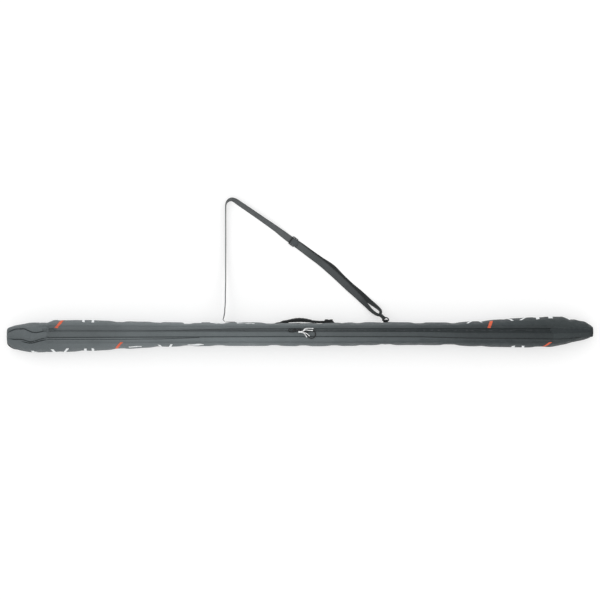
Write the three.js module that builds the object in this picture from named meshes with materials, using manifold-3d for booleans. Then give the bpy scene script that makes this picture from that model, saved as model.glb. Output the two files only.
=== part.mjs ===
// A long, slim padded bag for cross-country skis, lying on its back with the zip up.
// Millimetres, +Z up, X along the bag. The origin is on the floor under the middle of the bag.
import * as THREE from 'three';
import * as BufferGeometryUtils from 'three/addons/utils/BufferGeometryUtils.js';
import Module from 'manifold-3d';

const wasm = await Module();
wasm.setup();

// ---------------------------------------------------------------- driving dimensions

const GAP = 0.3; // clearance between pieces that touch
const SEAM_GAP = 0.5; // between two panels sewn along a long seam
const WALL = 3; // laminated cloth, foam and lining

const HALF_LENGTH = 1050;
const MOUTH_END = 905; // the zipped mouth runs from -MOUTH_END to MOUTH_END
const SEAM_Y = 28; // the long seams that the mouth's two lips fold on
const SEAM_Z = 109;
const CROWN = 8; // rise of the zipped face between its seams
const WIDEST_Z = 56;
const BOTTOM_SHARE = 0.58; // flat bottom, as a share of the bag's width
const SQUARENESS = 2.3; // 2 is an ellipse, more is boxier

const ZIP_Y = 14;
const COIL_WIDTH = 2.3;
const COIL_HEIGHT = 2.9;
const COIL_SPLIT = 1.8;
const COIL_TOP = 114.2;
const COIL_END = 902;
const TAPE = 0.9;
const LIP_EDGE = { plus: 21.5, minus: 8.6 }; // cloth edges beside the coil
const WELT_SEAM_Y = -8;

const SLIDER = { length: 14, halfWidth: 4.6, tailHalfWidth: 3.6, plate: 1.6, bottom: 110 };
const SLIDER_X = { left: -18.2, right: -3.2 };
const BRIDGE = { length: 9, width: 3, wire: 1.4, height: 5.6 };
const PULL_THICKNESS = 2.7;
const PULL_Z = 117.3; // underside of both pulls
const PULL_TURN = -18 * Math.PI / 180; // the ring pull lies slanting across the welt
const RING_RADIUS = 14.8;
const RING_WIRE = 3.4;
const RING_REACH = 46.5; // from the bridge to the ring's middle

const PULL_CORD = 2.8;

const WEBBING = 25;
const WEBBING_THICKNESS = 1.6;
const HARDWARE_Z = 57; // the handle and both strap ends are sewn on at this height
const STRAP_AXIS_Y = 48; // the whole strap folds up about this line at HARDWARE_Z

const HANDLE = { left: -89, right: 130, gripLeft: -46, gripRight: 43, rise: 11.2, grip: 10.4 };
const STRAP_LEFT_X = -268;
const D_RING = { x: 307.5, radius: 12.5, side: 3.5, wire: 3.4, chamfer: 1, droop: 40 * Math.PI / 180 };
const WIRE_CORNER = 1.9; // from the middle of the ring's wire to its furthest corner
const STRAP_CONTACT = 128 * Math.PI / 180; // where on the D-ring's bow the strap pulls
const EYE_WIDTH = 10.5; // the webbing is gathered where it goes round the bow
const EYE_THICKNESS = 1.8;
const GLIDE = { x: -24, y: 332.6, turn: -36.5 * Math.PI / 180, length: 24, width: 33, thickness: 2.4 };

// ---------------------------------------------------------------- finishes

const FINISHES = {
  cloth: { color: 0x565d5f, roughness: 0.85, metalness: 0 },
  lining: { color: 0x2c3032, roughness: 0.9, metalness: 0 },
  tape: { color: 0x3a4042, roughness: 0.9, metalness: 0 },
  coil: { color: 0x33383a, roughness: 0.5, metalness: 0 },
  webbing: { color: 0x5c6163, roughness: 0.8, metalness: 0 },
  blackWebbing: { color: 0x1c1e1f, roughness: 0.8, metalness: 0 },
  plastic: { color: 0x18191a, roughness: 0.45, metalness: 0 },
  metal: { color: 0x2a2c2e, roughness: 0.4, metalness: 0.8 },
  cord: { color: 0xe6e8e8, roughness: 0.7, metalness: 0 },
  binding: { color: 0x24282a, roughness: 0.85, metalness: 0 },
};

const bag = new THREE.Group();

function add(name, geometry, finish, parent = bag) {
  const mesh = new THREE.Mesh(geometry, new THREE.MeshStandardMaterial(FINISHES[finish]));
  mesh.name = name;
  parent.add(mesh);
  return mesh;
}

// ---------------------------------------------------------------- geometry helpers

function signedVolume(positions, index) {
  const [a, b, c] = [new THREE.Vector3(), new THREE.Vector3(), new THREE.Vector3()];
  let volume = 0;
  for (let i = 0; i < index.length; i += 3) {
    a.fromArray(positions, 3 * index[i]);
    b.fromArray(positions, 3 * index[i + 1]);
    c.fromArray(positions, 3 * index[i + 2]);
    volume += a.dot(b.cross(c)) / 6;
  }
  return volume;
}

// A closed solid through loops of points. Each loop runs out along one face and back along the
// other, so that its two halves face each other and close the ends.
function loft(loops) {
  const count = loops[0].length;
  const positions = loops.flat().flatMap((p) => [p.x, p.y, p.z]);
  const index = [];
  const quad = (a, b, c, d) => index.push(a, b, c, a, c, d);
  for (let i = 0; i + 1 < loops.length; i += 1) {
    for (let j = 0; j < count; j += 1) {
      const next = (j + 1) % count;
      quad(i * count + j, i * count + next, (i + 1) * count + next, (i + 1) * count + j);
    }
  }
  const last = (loops.length - 1) * count;
  for (let j = 0; j + 1 < count / 2; j += 1) {
    const back = count - 1 - j;
    quad(j, back, back - 1, j + 1);
    quad(last + j, last + j + 1, last + back - 1, last + back);
  }
  if (signedVolume(positions, index) < 0) {
    index.reverse();
  }
  const geometry = new THREE.BufferGeometry();
  geometry.setAttribute('position', new THREE.Float32BufferAttribute(positions, 3));
  geometry.setIndex(index);
  return geometry;
}

function toManifold(geometry) {
  const bare = geometry.clone();
  bare.deleteAttribute('normal');
  bare.deleteAttribute('uv');
  const merged = BufferGeometryUtils.mergeVertices(bare, 1e-4);
  return new wasm.Manifold(new wasm.Mesh({
    numProp: 3,
    vertProperties: new Float32Array(merged.attributes.position.array),
    triVerts: new Uint32Array(merged.index.array),
  }));
}

function join(...geometries) {
  const mesh = geometries.map(toManifold).reduce((whole, next) => whole.add(next)).getMesh();
  const geometry = new THREE.BufferGeometry();
  geometry.setAttribute('position', new THREE.Float32BufferAttribute(mesh.vertProperties, 3));
  geometry.setIndex(Array.from(mesh.triVerts));
  return geometry;
}

function box(x0, x1, y0, y1, z0, z1) {
  return new THREE.BoxGeometry(x1 - x0, y1 - y0, z1 - z0)
    .translate((x0 + x1) / 2, (y0 + y1) / 2, (z0 + z1) / 2);
}

// A smooth value between stations [x, value, value, ...], with no overshoot.
function between(stations, column, x) {
  const last = stations.length - 1;
  if (x <= stations[0][0]) return stations[0][column];
  if (x >= stations[last][0]) return stations[last][column];
  const i = stations.findIndex((s) => s[0] >= x);
  const slope = (k) => (stations[k + 1][column] - stations[k][column])
    / (stations[k + 1][0] - stations[k][0]);
  const tangent = (k) => {
    if (k === 0) return slope(0);
    if (k === last) return slope(last - 1);
    const [before, after] = [slope(k - 1), slope(k)];
    return before * after <= 0 ? 0 : 2 * before * after / (before + after);
  };
  const [x0, x1] = [stations[i - 1][0], stations[i][0]];
  const t = (x - x0) / (x1 - x0);
  const [v0, v1] = [stations[i - 1][column], stations[i][column]];
  return v0 * (1 + 2 * t) * (1 - t) ** 2 + v1 * t * t * (3 - 2 * t)
    + (x1 - x0) * (tangent(i - 1) * t * (1 - t) ** 2 - tangent(i) * t * t * (1 - t));
}

function steps(from, to, count) {
  return Array.from({ length: count + 1 }, (_, i) => from + (to - from) * i / count);
}

// ---------------------------------------------------------------- the bag's outline and section

// x, edge on the strap side, edge on the plain side
const OUTLINE = [
  [-1050, 20, -24], [-1040, 24, -40], [-1026, 28, -54], [-1003, 36, -61], [-940, 43, -68],
  [-893, 50, -65], [-786, 51, -61], [-643, 47, -54], [-500, 43.5, -45.5], [-285, 41.5, -41.5],
  [0, 41.5, -43], [160, 41, -43.5], [430, 40, -40], [646, 46.5, -44.5], [861, 58, -46],
  [908, 61, -45], [968, 54, -36], [1011, 43, -28], [1036, 33, -17], [1050, 27, -10],
];
const END_MIDDLE = { left: -2, right: 8.5 };
const END_SEAM_HALF = 12;
const END_SEAM_DROP = 27;
const END_BOTTOM_RISE = 14;

function taper(x) {
  const t = THREE.MathUtils.clamp((Math.abs(x) - MOUTH_END) / (HALF_LENGTH - MOUTH_END), 0, 1);
  return t * t * (3 - 2 * t);
}

function section(x) {
  const end = taper(x);
  const edge = { plus: between(OUTLINE, 1, x), minus: between(OUTLINE, 2, x) };
  const middle = (edge.plus + edge.minus) / 2;
  const bottomHalf = BOTTOM_SHARE * (edge.plus - edge.minus) / 2;
  const endMiddle = x < 0 ? END_MIDDLE.left : END_MIDDLE.right;
  return {
    edge,
    bottom: { plus: middle + bottomHalf, minus: middle - bottomHalf },
    seam: {
      plus: THREE.MathUtils.lerp(SEAM_Y, endMiddle + END_SEAM_HALF, end),
      minus: THREE.MathUtils.lerp(-SEAM_Y, endMiddle - END_SEAM_HALF, end),
    },
    seamZ: SEAM_Z - END_SEAM_DROP * end,
    crown: CROWN * (1 - 0.4 * end),
    bottomZ: END_BOTTOM_RISE * end * end,
    widestZ: WIDEST_Z - 6 * end,
  };
}

function frontZ(x, y) {
  const s = section(x);
  const middle = (s.seam.plus + s.seam.minus) / 2;
  const half = (s.seam.plus - s.seam.minus) / 2;
  return s.seamZ + s.crown * (1 - ((y - middle) / half) ** 2);
}

// From the flat bottom, round the side and up to the long seam.
function sideProfile(x, side) {
  const s = section(x);
  const edge = s.edge[side];
  const quarter = (innerY, z) => steps(0, 1, SIDE_STEPS / 2).map((t) => {
    const angle = t * Math.PI / 2;
    return [
      innerY + (edge - innerY) * Math.cos(angle) ** (2 / SQUARENESS),
      s.widestZ + (z - s.widestZ) * Math.sin(angle) ** (2 / SQUARENESS),
    ];
  });
  return [...quarter(s.bottom[side], s.bottomZ).reverse(), ...quarter(s.seam[side], s.seamZ).slice(1)];
}

// Where the zipped face is divided, from the strap side's seam to the plain side's.
const FACE_YS = [SEAM_Y, 24.7, LIP_EDGE.plus, 15, LIP_EDGE.minus, 3, -2.5, WELT_SEAM_Y, -13, -18, -23,
  -SEAM_Y];
const SIDE_STEPS = 10;
const BOTTOM_STEPS = 2;

// Each stretch of the section, as its first and last point in the ring.
const bottomEnd = BOTTOM_STEPS;
const faceStart = bottomEnd + SIDE_STEPS;
const faceEnd = faceStart + FACE_YS.length - 1;
const STRETCH = {
  bottom: [0, bottomEnd],
  plusSide: [bottomEnd, faceStart],
  face: [faceStart, faceEnd],
  plusLip: [faceStart, faceStart + FACE_YS.indexOf(LIP_EDGE.plus)],
  welt: [faceStart + FACE_YS.indexOf(LIP_EDGE.minus), faceStart + FACE_YS.indexOf(WELT_SEAM_Y)],
  minusLip: [faceStart + FACE_YS.indexOf(WELT_SEAM_Y), faceEnd],
  minusSide: [faceEnd, faceEnd + SIDE_STEPS],
  allButFace: [faceEnd, faceEnd + 2 * SIDE_STEPS + BOTTOM_STEPS],
  liner: [faceEnd + SIDE_STEPS - 3, faceEnd + SIDE_STEPS + BOTTOM_STEPS + 3],
};

// The whole section at x, as a ring of [y, z] at some depth under the outer surface.
function ring(x, depth) {
  const s = section(x);
  const middle = (s.seam.plus + s.seam.minus) / 2;
  const half = (s.seam.plus - s.seam.minus) / 2;
  const face = FACE_YS.map((y) => middle + half * y / SEAM_Y).map((y) => [y, frontZ(x, y)]);
  const bottom = steps(s.bottom.minus, s.bottom.plus, BOTTOM_STEPS).map((y) => [y, s.bottomZ]);
  const minusSide = sideProfile(x, 'minus').reverse();
  const outer = [bottom, sideProfile(x, 'plus'), face, minusSide].flatMap((piece) => piece.slice(0, -1));
  return outer.map((p, i) => {
    const before = outer[(i + outer.length - 1) % outer.length];
    const after = outer[(i + 1) % outer.length];
    return inward(p, before, after, depth);
  });
}

// The point moved to the left of the direction from `before` to `after`.
function inward(point, before, after, distance) {
  const [dy, dz] = [after[0] - before[0], after[1] - before[1]];
  const length = Math.hypot(dy, dz);
  return [point[0] - distance * dz / length, point[1] + distance * dy / length];
}

// One stretch of the ring, its two ends drawn in to clear the next panels.
function stretchOfRing(x, [first, last], depth) {
  const whole = ring(x, depth);
  const points = steps(first, last, last - first).map((i) => [...whole[i % whole.length]]);
  for (const [end, next] of [[0, 1], [points.length - 1, points.length - 2]]) {
    const [dy, dz] = [points[next][0] - points[end][0], points[next][1] - points[end][1]];
    const share = SEAM_GAP / 2 / Math.hypot(dy, dz);
    points[end] = [points[end][0] + share * dy, points[end][1] + share * dz];
  }
  return points;
}

// A panel of the shell from depth `from` to depth `to` under the outer surface.
function panel(xs, stretch, from = 0, to = WALL) {
  return loft(xs.map((x) => {
    const loop = [...stretchOfRing(x, stretch, from), ...stretchOfRing(x, stretch, to).reverse()];
    return loop.map(([y, z]) => new THREE.Vector3(x, y, z));
  }));
}

// A strip that follows the zipped face between two Y values.
function faceStrip(xs, fromY, toY, from, to, count = 2) {
  const curve = (x) => steps(fromY, toY, count).map((y) => [y, frontZ(x, y)]);
  const shifted = (points, depth) => points.map((p, i) => inward(
    p, points[Math.max(i - 1, 0)], points[Math.min(i + 1, count)], depth));
  return loft(xs.map((x) => {
    const loop = [...shifted(curve(x), from), ...shifted(curve(x), to).reverse()];
    return loop.map(([y, z]) => new THREE.Vector3(x, y, z));
  }));
}

const LEFT_XS = [-1050, -1044, -1036, -1024, -1003, -972, -940, -MOUTH_END - GAP / 2];
const MIDDLE_XS = [GAP / 2 - MOUTH_END, -850, -786, -715, -643, -571, -500, -390, -285, -140, 0, 160,
  300, 430, 540, 646, 755, 861, MOUTH_END - GAP / 2];
const RIGHT_XS = [MOUTH_END + GAP / 2, 936, 968, 990, 1011, 1026, 1038, 1050];

function plateAcross(x0, x1, profile, hole) {
  const shape = new THREE.Shape(profile.map(([y, z]) => new THREE.Vector2(y, z)));
  if (hole) shape.holes.push(new THREE.Path(hole.map(([y, z]) => new THREE.Vector2(y, z))));
  const geometry = new THREE.ExtrudeGeometry(shape, { depth: x1 - x0, bevelEnabled: false });
  return geometry.applyMatrix4(new THREE.Matrix4().set(
    0, 0, 1, x0,
    1, 0, 0, 0,
    0, 1, 0, 0,
    0, 0, 0, 1,
  ));
}

function makeShell() {
  add('spine_panel', panel(MIDDLE_XS, STRETCH.bottom), 'cloth');
  add('side_panel_strap_side', panel(MIDDLE_XS, STRETCH.plusSide), 'cloth');
  add('side_panel_plain_side', panel(MIDDLE_XS, STRETCH.minusSide), 'cloth');
  add('end_sleeve_left', panel(LEFT_XS, STRETCH.allButFace), 'cloth');
  add('end_sleeve_right', panel(RIGHT_XS, STRETCH.allButFace), 'cloth');
  add('zip_face_left_end', panel(LEFT_XS, STRETCH.face), 'cloth');
  add('zip_face_right_end', panel(RIGHT_XS, STRETCH.face), 'cloth');
}

function makeEnds() {
  const inset = 2;
  for (const [name, side] of [['left', -1], ['right', 1]]) {
    const outer = side * (HALF_LENGTH - inset);
    const inner = side * (HALF_LENGTH - inset - WALL);
    const profile = ring(outer, WALL + 1);
    const plate = plateAcross(Math.min(outer, inner), Math.max(outer, inner), profile);
    add(`end_wall_${name}`, plate, 'cloth');
  }
  const depth = WALL + GAP + 0.4;
  add('end_liner_left', panel([-1036, -1024, -1003, -972, -940], STRETCH.liner, depth, depth + 1.5), 'lining');
  add('end_liner_right', panel([936, 968, 990, 1011, 1030], STRETCH.liner, depth, depth + 1.5), 'lining');
}

function makeBindings() {
  const x0 = HALF_LENGTH - 6;
  const band = { outer: ring(x0, -1.9), inner: ring(x0, -0.8) };
  add('end_binding_right', plateAcross(x0, HALF_LENGTH, band.outer, band.inner.reverse()), 'binding');
  const radius = 1.6;
  const away = radius + GAP + 0.4;
  const route = [-1046, -1041, -1034, -1026, -1014, -1000, -980].map((x) => {
    const s = section(x);
    const slope = (section(x + 1).edge.minus - section(x - 1).edge.minus) / 2;
    const length = Math.hypot(slope, 1);
    return new THREE.Vector3(x + away * slope / length, s.edge.minus - away / length, s.widestZ);
  });
  add('corner_piping_left', tube(route, radius, 12), 'binding');
}

// ---------------------------------------------------------------- tubes and webbing

function tube(points, radius, segments, sides = 8) {
  const circle = new THREE.Shape(steps(0, sides - 1, sides - 1).map((k) => {
    const angle = 2 * Math.PI * k / sides;
    return new THREE.Vector2(radius * Math.cos(angle), radius * Math.sin(angle));
  }));
  const path = new THREE.CatmullRomCurve3(points, false, 'centripetal');
  return new THREE.ExtrudeGeometry(circle, { steps: segments, extrudePath: path, bevelEnabled: false });
}

function valueAlong(stations, column, at) {
  const k = Math.min(Math.floor(at), stations.length - 2);
  return THREE.MathUtils.lerp(stations[k][column], stations[k + 1][column], at - k);
}

// One corner-to-corner ring of a flat strap.
function strapLoop(at, across, through, width, thickness) {
  const corner = (a, b) => at.clone()
    .addScaledVector(across, a * width / 2)
    .addScaledVector(through, b * thickness / 2);
  return [corner(-1, 1), corner(1, 1), corner(1, -1), corner(-1, -1)];
}

// A flat strap through stations [x, y, z, tilt, width], from one station to another. Tilt 0 lies
// flat and 90 stands on its edge. A cut end keeps clear of the next piece of the same strap.
function strap(stations, count, [from, to] = [0, stations.length - 1], thickness = WEBBING_THICKNESS) {
  const last = stations.length - 1;
  const path = new THREE.CatmullRomCurve3(
    stations.map(([x, y, z]) => new THREE.Vector3(x, y, z)), false, 'centripetal');
  return loft(steps(from, to, count).map((station) => {
    const at = path.getPoint(station / last);
    const along = path.getTangent(station / last);
    if (station === from && from > 0) at.addScaledVector(along, GAP / 2);
    if (station === to && to < last) at.addScaledVector(along, -GAP / 2);
    const tilt = THREE.MathUtils.degToRad(valueAlong(stations, 3, station));
    const level = new THREE.Vector3(-along.y, along.x, 0).normalize();
    const rise = new THREE.Vector3().crossVectors(along, level).normalize();
    const across = level.clone().multiplyScalar(Math.cos(tilt)).addScaledVector(rise, Math.sin(tilt));
    const through = new THREE.Vector3().crossVectors(along, across).normalize();
    return strapLoop(at, across, through, valueAlong(stations, 4, station), thickness);
  }));
}

// A strap bent round a straight axis: its width always lies along `across`.
function bentStrap(points, across, width, thickness) {
  return loft(points.map((at, i) => {
    const before = points[Math.max(i - 1, 0)];
    const after = points[Math.min(i + 1, points.length - 1)];
    const through = new THREE.Vector3().subVectors(after, before).cross(across).normalize();
    return strapLoop(at, across, through, width, thickness);
  }));
}

// ---------------------------------------------------------------- the zip

function makeLips() {
  const coilXs = steps(-COIL_END, COIL_END, 4);
  const under = WALL + GAP;
  add('lip_panel_strap_side', panel(MIDDLE_XS, STRETCH.plusLip), 'cloth');
  add('lip_panel_plain_side', panel(MIDDLE_XS, STRETCH.minusLip), 'cloth');
  add('zip_welt', panel(MIDDLE_XS, STRETCH.welt), 'cloth');
  const clear = COIL_SPLIT / 2 + COIL_WIDTH + 0.4;
  add('zip_tape_strap_side', faceStrip(coilXs, 25.5, ZIP_Y + clear + 2, under, under + TAPE), 'tape');
  add('zip_tape_plain_side', faceStrip(coilXs, ZIP_Y - clear, 1.5, under, under + TAPE), 'tape');
  for (const [name, side] of [['strap_side', 1], ['plain_side', -1]]) {
    const near = ZIP_Y + side * COIL_SPLIT / 2;
    const far = near + side * COIL_WIDTH;
    const bar = box(-COIL_END, COIL_END, Math.min(near, far), Math.max(near, far),
      COIL_TOP - COIL_HEIGHT, COIL_TOP);
    add(`zip_coil_${name}`, bar, 'coil');
  }
}

function makeZipEnds() {
  for (const [name, side] of [['left', -1], ['right', 1]]) {
    const xs = [909, 916, 924].map((x) => side * x).sort((a, b) => a - b);
    const tab = faceStrip(xs, ZIP_Y + 4, ZIP_Y - 4, -GAP - 0.9, -GAP, 2);
    add(`zip_end_tab_${name}`, tab, 'binding');
  }
}

// Seen from above, a shield whose broad nose points towards the other slider.
function sliderPlate(nose, halfNose, halfTail, z0, z1) {
  const half = SLIDER.length / 2;
  const shape = new THREE.Shape();
  shape.moveTo(-half, -halfTail);
  shape.lineTo(half - 4, -halfNose);
  shape.quadraticCurveTo(half, -halfNose, half, 0);
  shape.quadraticCurveTo(half, halfNose, half - 4, halfNose);
  shape.lineTo(-half, halfTail);
  const plate = new THREE.ExtrudeGeometry(shape, { depth: z1 - z0, bevelEnabled: false, curveSegments: 4 });
  return plate.rotateZ(nose > 0 ? 0 : Math.PI).translate(0, 0, z0);
}

function makeSlider(name, x, nose) {
  const top = COIL_TOP + GAP + 0.3;
  const plateTop = top + SLIDER.plate;
  const post = box(-1.5, 1.5, -0.6, 0.6, SLIDER.bottom - 0.5, top + 0.5).translate(nose * 4, 0, 0);
  const flange = (side) => box(-5, 5, side > 0 ? 4.0 : -4.6, side > 0 ? 4.6 : -4.0, top - 1.2, top + 0.5);
  const body = join(
    sliderPlate(nose, SLIDER.halfWidth, SLIDER.tailHalfWidth + 1, top, plateTop),
    sliderPlate(nose, 3.3, 2.8, SLIDER.bottom - 1.3, SLIDER.bottom),
    post,
    flange(1),
    flange(-1),
  );
  const group = new THREE.Group();
  group.position.set(x, ZIP_Y, 0);
  bag.add(group);
  add(`slider_body_${name}`, body, 'metal', group);
  const arch = new THREE.Shape();
  const half = BRIDGE.length / 2;
  const inner = half - BRIDGE.wire;
  const shoulder = BRIDGE.height - 2;
  arch.moveTo(-half, 0);
  arch.lineTo(-half, shoulder);
  arch.quadraticCurveTo(-half, BRIDGE.height, -half + 2.5, BRIDGE.height);
  arch.lineTo(half - 2.5, BRIDGE.height);
  arch.quadraticCurveTo(half, BRIDGE.height, half, shoulder);
  arch.lineTo(half, 0);
  arch.lineTo(inner, 0);
  arch.lineTo(inner, BRIDGE.height - BRIDGE.wire);
  arch.lineTo(-inner, BRIDGE.height - BRIDGE.wire);
  arch.lineTo(-inner, 0);
  const bridge = new THREE.ExtrudeGeometry(arch, { depth: BRIDGE.width, bevelEnabled: false, curveSegments: 3 });
  bridge.rotateX(Math.PI / 2).translate(0, BRIDGE.width / 2, plateTop + GAP);
  add(`slider_bridge_${name}`, bridge, 'metal', group);
}

function flatPull(shape, holes) {
  shape.holes.push(...holes);
  const settings = { depth: PULL_THICKNESS, bevelEnabled: false, curveSegments: 12 };
  return new THREE.ExtrudeGeometry(shape, settings);
}

function roundedRectangle(Kind, x0, x1, y0, y1, radius) {
  const outline = new Kind();
  outline.moveTo(x0 + radius, y0);
  outline.lineTo(x1 - radius, y0);
  outline.absarc(x1 - radius, y0 + radius, radius, -Math.PI / 2, 0);
  outline.lineTo(x1, y1 - radius);
  outline.absarc(x1 - radius, y1 - radius, radius, 0, Math.PI / 2);
  outline.lineTo(x0 + radius, y1);
  outline.absarc(x0 + radius, y1 - radius, radius, Math.PI / 2, Math.PI);
  outline.lineTo(x0, y0 + radius);
  outline.absarc(x0 + radius, y0 + radius, radius, Math.PI, 3 * Math.PI / 2);
  return outline;
}

// Both pulls hang on a bar under their bridge, at the local origin, and reach along local +X.
const PULL_BAR = 1.1; // half the bar's width

function makeLeftPull() {
  const [reach, half, wire] = [25, 7.3, 2.6];
  const shape = roundedRectangle(THREE.Shape, -PULL_BAR, reach - PULL_BAR, -half, half, half - 0.4);
  const hole = roundedRectangle(THREE.Path, PULL_BAR, reach - PULL_BAR - wire, -half + wire, half - wire, 4.2);
  const mesh = add('pull_loop_left', flatPull(shape, [hole]), 'plastic');
  mesh.position.set(SLIDER_X.left, ZIP_Y, PULL_Z);
  mesh.rotation.z = Math.PI;
}

function makeRightPull() {
  const outer = RING_RADIUS + RING_WIRE / 2;
  const neck = 3.4;
  const meets = Math.asin(neck / outer);
  const shape = new THREE.Shape();
  shape.moveTo(-PULL_BAR, -5.2);
  shape.lineTo(9, -5.2);
  shape.lineTo(13, -neck);
  shape.absarc(RING_REACH, 0, outer, Math.PI + meets, 3 * Math.PI - meets);
  shape.lineTo(13, neck);
  shape.lineTo(9, 5.2);
  shape.lineTo(-PULL_BAR, 5.2);
  const eye = roundedRectangle(THREE.Path, PULL_BAR, 8.2, -3.2, 3.2, 1);
  const ring = new THREE.Path();
  ring.absarc(RING_REACH, 0, RING_RADIUS - RING_WIRE / 2, 0, 2 * Math.PI);
  const mesh = add('pull_ring_right', flatPull(shape, [eye, ring]), 'plastic');
  mesh.position.set(SLIDER_X.right, ZIP_Y, PULL_Z);
  mesh.rotation.z = PULL_TURN;
}

// The white pull cords, from the stopper ball to their free tips.
const PULL_CORDS = {
  pull_cord_a: [[2, 9.6, 121.9], [8, 9.8, 122], [12.5, 12.4, 122.2], [15.5, 17.2, 120.8],
    [21, 20, 118], [30, 20.6, 115.6], [39, 20.3, 115], [48, 20, 114.9]],
  pull_cord_b: [[2, 9.6, 125.4], [8, 9.6, 125.4], [13, 11.6, 125.4], [17.5, 14.8, 124.5],
    [23, 15.2, 122.9], [31, 13.8, 122.3], [39, 13.3, 122.2], [46, 13, 122.2]],
  pull_cord_c: [[2, 6.2, 121.9], [8, 6.2, 122], [13, 4, 121.6], [17.5, -0.6, 120.2],
    [21.3, -5.6, 119.2], [24.6, -11, 118.6]],
  pull_cord_d: [[2, 6.2, 125.4], [8, 6, 125.4], [14, 4.9, 125.2], [20, 3.6, 124.4],
    [25, 1.2, 122.9], [29.5, -2.4, 121.6], [34, -7, 119.6]],
};

function makePullCords() {
  const ball = new THREE.SphereGeometry(2.8, 12, 8).translate(-1.8, 7.2, 123.2);
  add('pull_stopper_ball', ball, 'cord');
  for (const [name, route] of Object.entries(PULL_CORDS)) {
    const points = route.map((p) => new THREE.Vector3(...p));
    add(name, tube(points, PULL_CORD / 2, 9), 'cord');
  }
}

// ---------------------------------------------------------------- the carry handle

const sideY = (x) => section(x).edge.plus;

function lyingOnSide(name, x0, x1, thickness, finish, lift = 0) {
  const inner = Math.max(sideY(x0), sideY(x1), sideY((x0 + x1) / 2)) + GAP + lift;
  const halfWidth = WEBBING / 2;
  add(name, box(x0, x1, inner, inner + thickness, HARDWARE_Z - halfWidth, HARDWARE_Z + halfWidth), finish);
}

// The grip's two faces, from one end of the handle to the other, as distances from the bag.
function gripFaces(x) {
  const t = (x - HANDLE.gripLeft) / (HANDLE.gripRight - HANDLE.gripLeft);
  const swell = Math.sin(Math.PI * t) ** 0.8;
  return { inner: 2.6 + (HANDLE.rise - HANDLE.grip / 2 - 2.6) * swell, outer: 4.8 + (HANDLE.rise - 4.8 + HANDLE.grip / 2) * swell };
}

function makeHandle() {
  lyingOnSide('handle_foot_left', HANDLE.left, -60.3, 1.8, 'blackWebbing');
  const y0 = sideY(0);
  const halfWidth = WEBBING / 2;
  const loops = steps(HANDLE.gripLeft, HANDLE.gripRight, 14).map((x) => {
    const { inner, outer } = gripFaces(x);
    return [
      new THREE.Vector3(x, y0 + inner, HARDWARE_Z - halfWidth + 1),
      new THREE.Vector3(x, y0 + outer, HARDWARE_Z - halfWidth + 1),
      new THREE.Vector3(x, y0 + outer, HARDWARE_Z + halfWidth - 1),
      new THREE.Vector3(x, y0 + inner, HARDWARE_Z + halfWidth - 1),
    ];
  });
  add('handle_grip', loft(loops), 'blackWebbing');
  lyingOnSide('handle_leg_left', -60, HANDLE.gripLeft - GAP, 1.8, 'blackWebbing', 1.6);
  lyingOnSide('handle_leg_right', HANDLE.gripRight + GAP, 84, 1.8, 'blackWebbing', 1.6);
  lyingOnSide('handle_foot_right', 84.5, HANDLE.right, 1.8, 'blackWebbing');
}

function makeHandleBuckle() {
  const frame = roundedRectangle(THREE.Shape, -15, 15, -15, 15, 3);
  frame.holes.push(roundedRectangle(THREE.Path, -11.5, -2, -12.8, 12.8, 1));
  frame.holes.push(roundedRectangle(THREE.Path, 2, 11.5, -12.8, 12.8, 1));
  const geometry = new THREE.ExtrudeGeometry(frame, { depth: 3.4, bevelEnabled: false, curveSegments: 4 });
  const buckle = add('handle_buckle', geometry, 'plastic');
  buckle.rotation.set(-Math.PI / 2, 0, 0);
  buckle.position.set(102, sideY(102) + 4.4, HARDWARE_Z);
  const tail = [90, 97, 105, 113, 118].map((x, i) => (
    [x, sideY(102) + [9.6, 11.2, 10.2, 11, 10.2][i], HARDWARE_Z, 90, WEBBING - 2]));
  add('handle_webbing_tail', strap(tail, 10), 'blackWebbing');
}

// ---------------------------------------------------------------- the shoulder strap

const FLOOR_Z = 0.3 + WEBBING_THICKNESS / 2;
const SECOND_Z = 2.2 + WEBBING_THICKNESS / 2; // a layer lying on the first one

function standing(x, y, tilt) {
  const angle = THREE.MathUtils.degToRad(tilt);
  const z = 0.8 + WEBBING / 2 * Math.sin(angle) + WEBBING_THICKNESS / 2 * Math.cos(angle);
  return [x, y, z, tilt, WEBBING];
}

// The riser stands on its edge and comes down from its foot to the floor.
function riser(x, y) {
  const onFloor = standing(x, y, 85);
  const share = THREE.MathUtils.clamp((330 - y) / 278, 0, 1);
  onFloor[2] += (HARDWARE_Z - onFloor[2]) * share * share;
  return onFloor;
}

function lying(x, y, z = SECOND_Z, tilt = 0, width = WEBBING) {
  return [x, y, z, tilt, width];
}

// The D-ring hangs from its bar, which lies along X; its bow droops towards the floor.
const RING_BAR = new THREE.Vector3(D_RING.x, STRAP_AXIS_Y, HARDWARE_Z);
const RING_OUT = new THREE.Vector3(0, Math.cos(D_RING.droop), -Math.sin(D_RING.droop));
const RING_UP = new THREE.Vector3(0, Math.sin(D_RING.droop), Math.cos(D_RING.droop));

function onRing(u, v, lift = 0) {
  return RING_BAR.clone().add(new THREE.Vector3(u, 0, 0)).addScaledVector(RING_OUT, v).addScaledVector(RING_UP, lift);
}

// A point `reach` outside the bow's wire where the strap pulls, `lift` above the ring's plane.
function atEye(reach, lift) {
  const radius = D_RING.radius - D_RING.wire / 2 + reach;
  return onRing(radius * Math.cos(STRAP_CONTACT), D_RING.side + radius * Math.sin(STRAP_CONTACT), lift);
}

const EYE_LIFT = WIRE_CORNER + 0.35 + EYE_THICKNESS / 2;
const EYE_LEG = 9;
const EYE_SLACK = 1.6; // the webbing bridges the curve of the bow
const EYE_TILT = -27;

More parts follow.
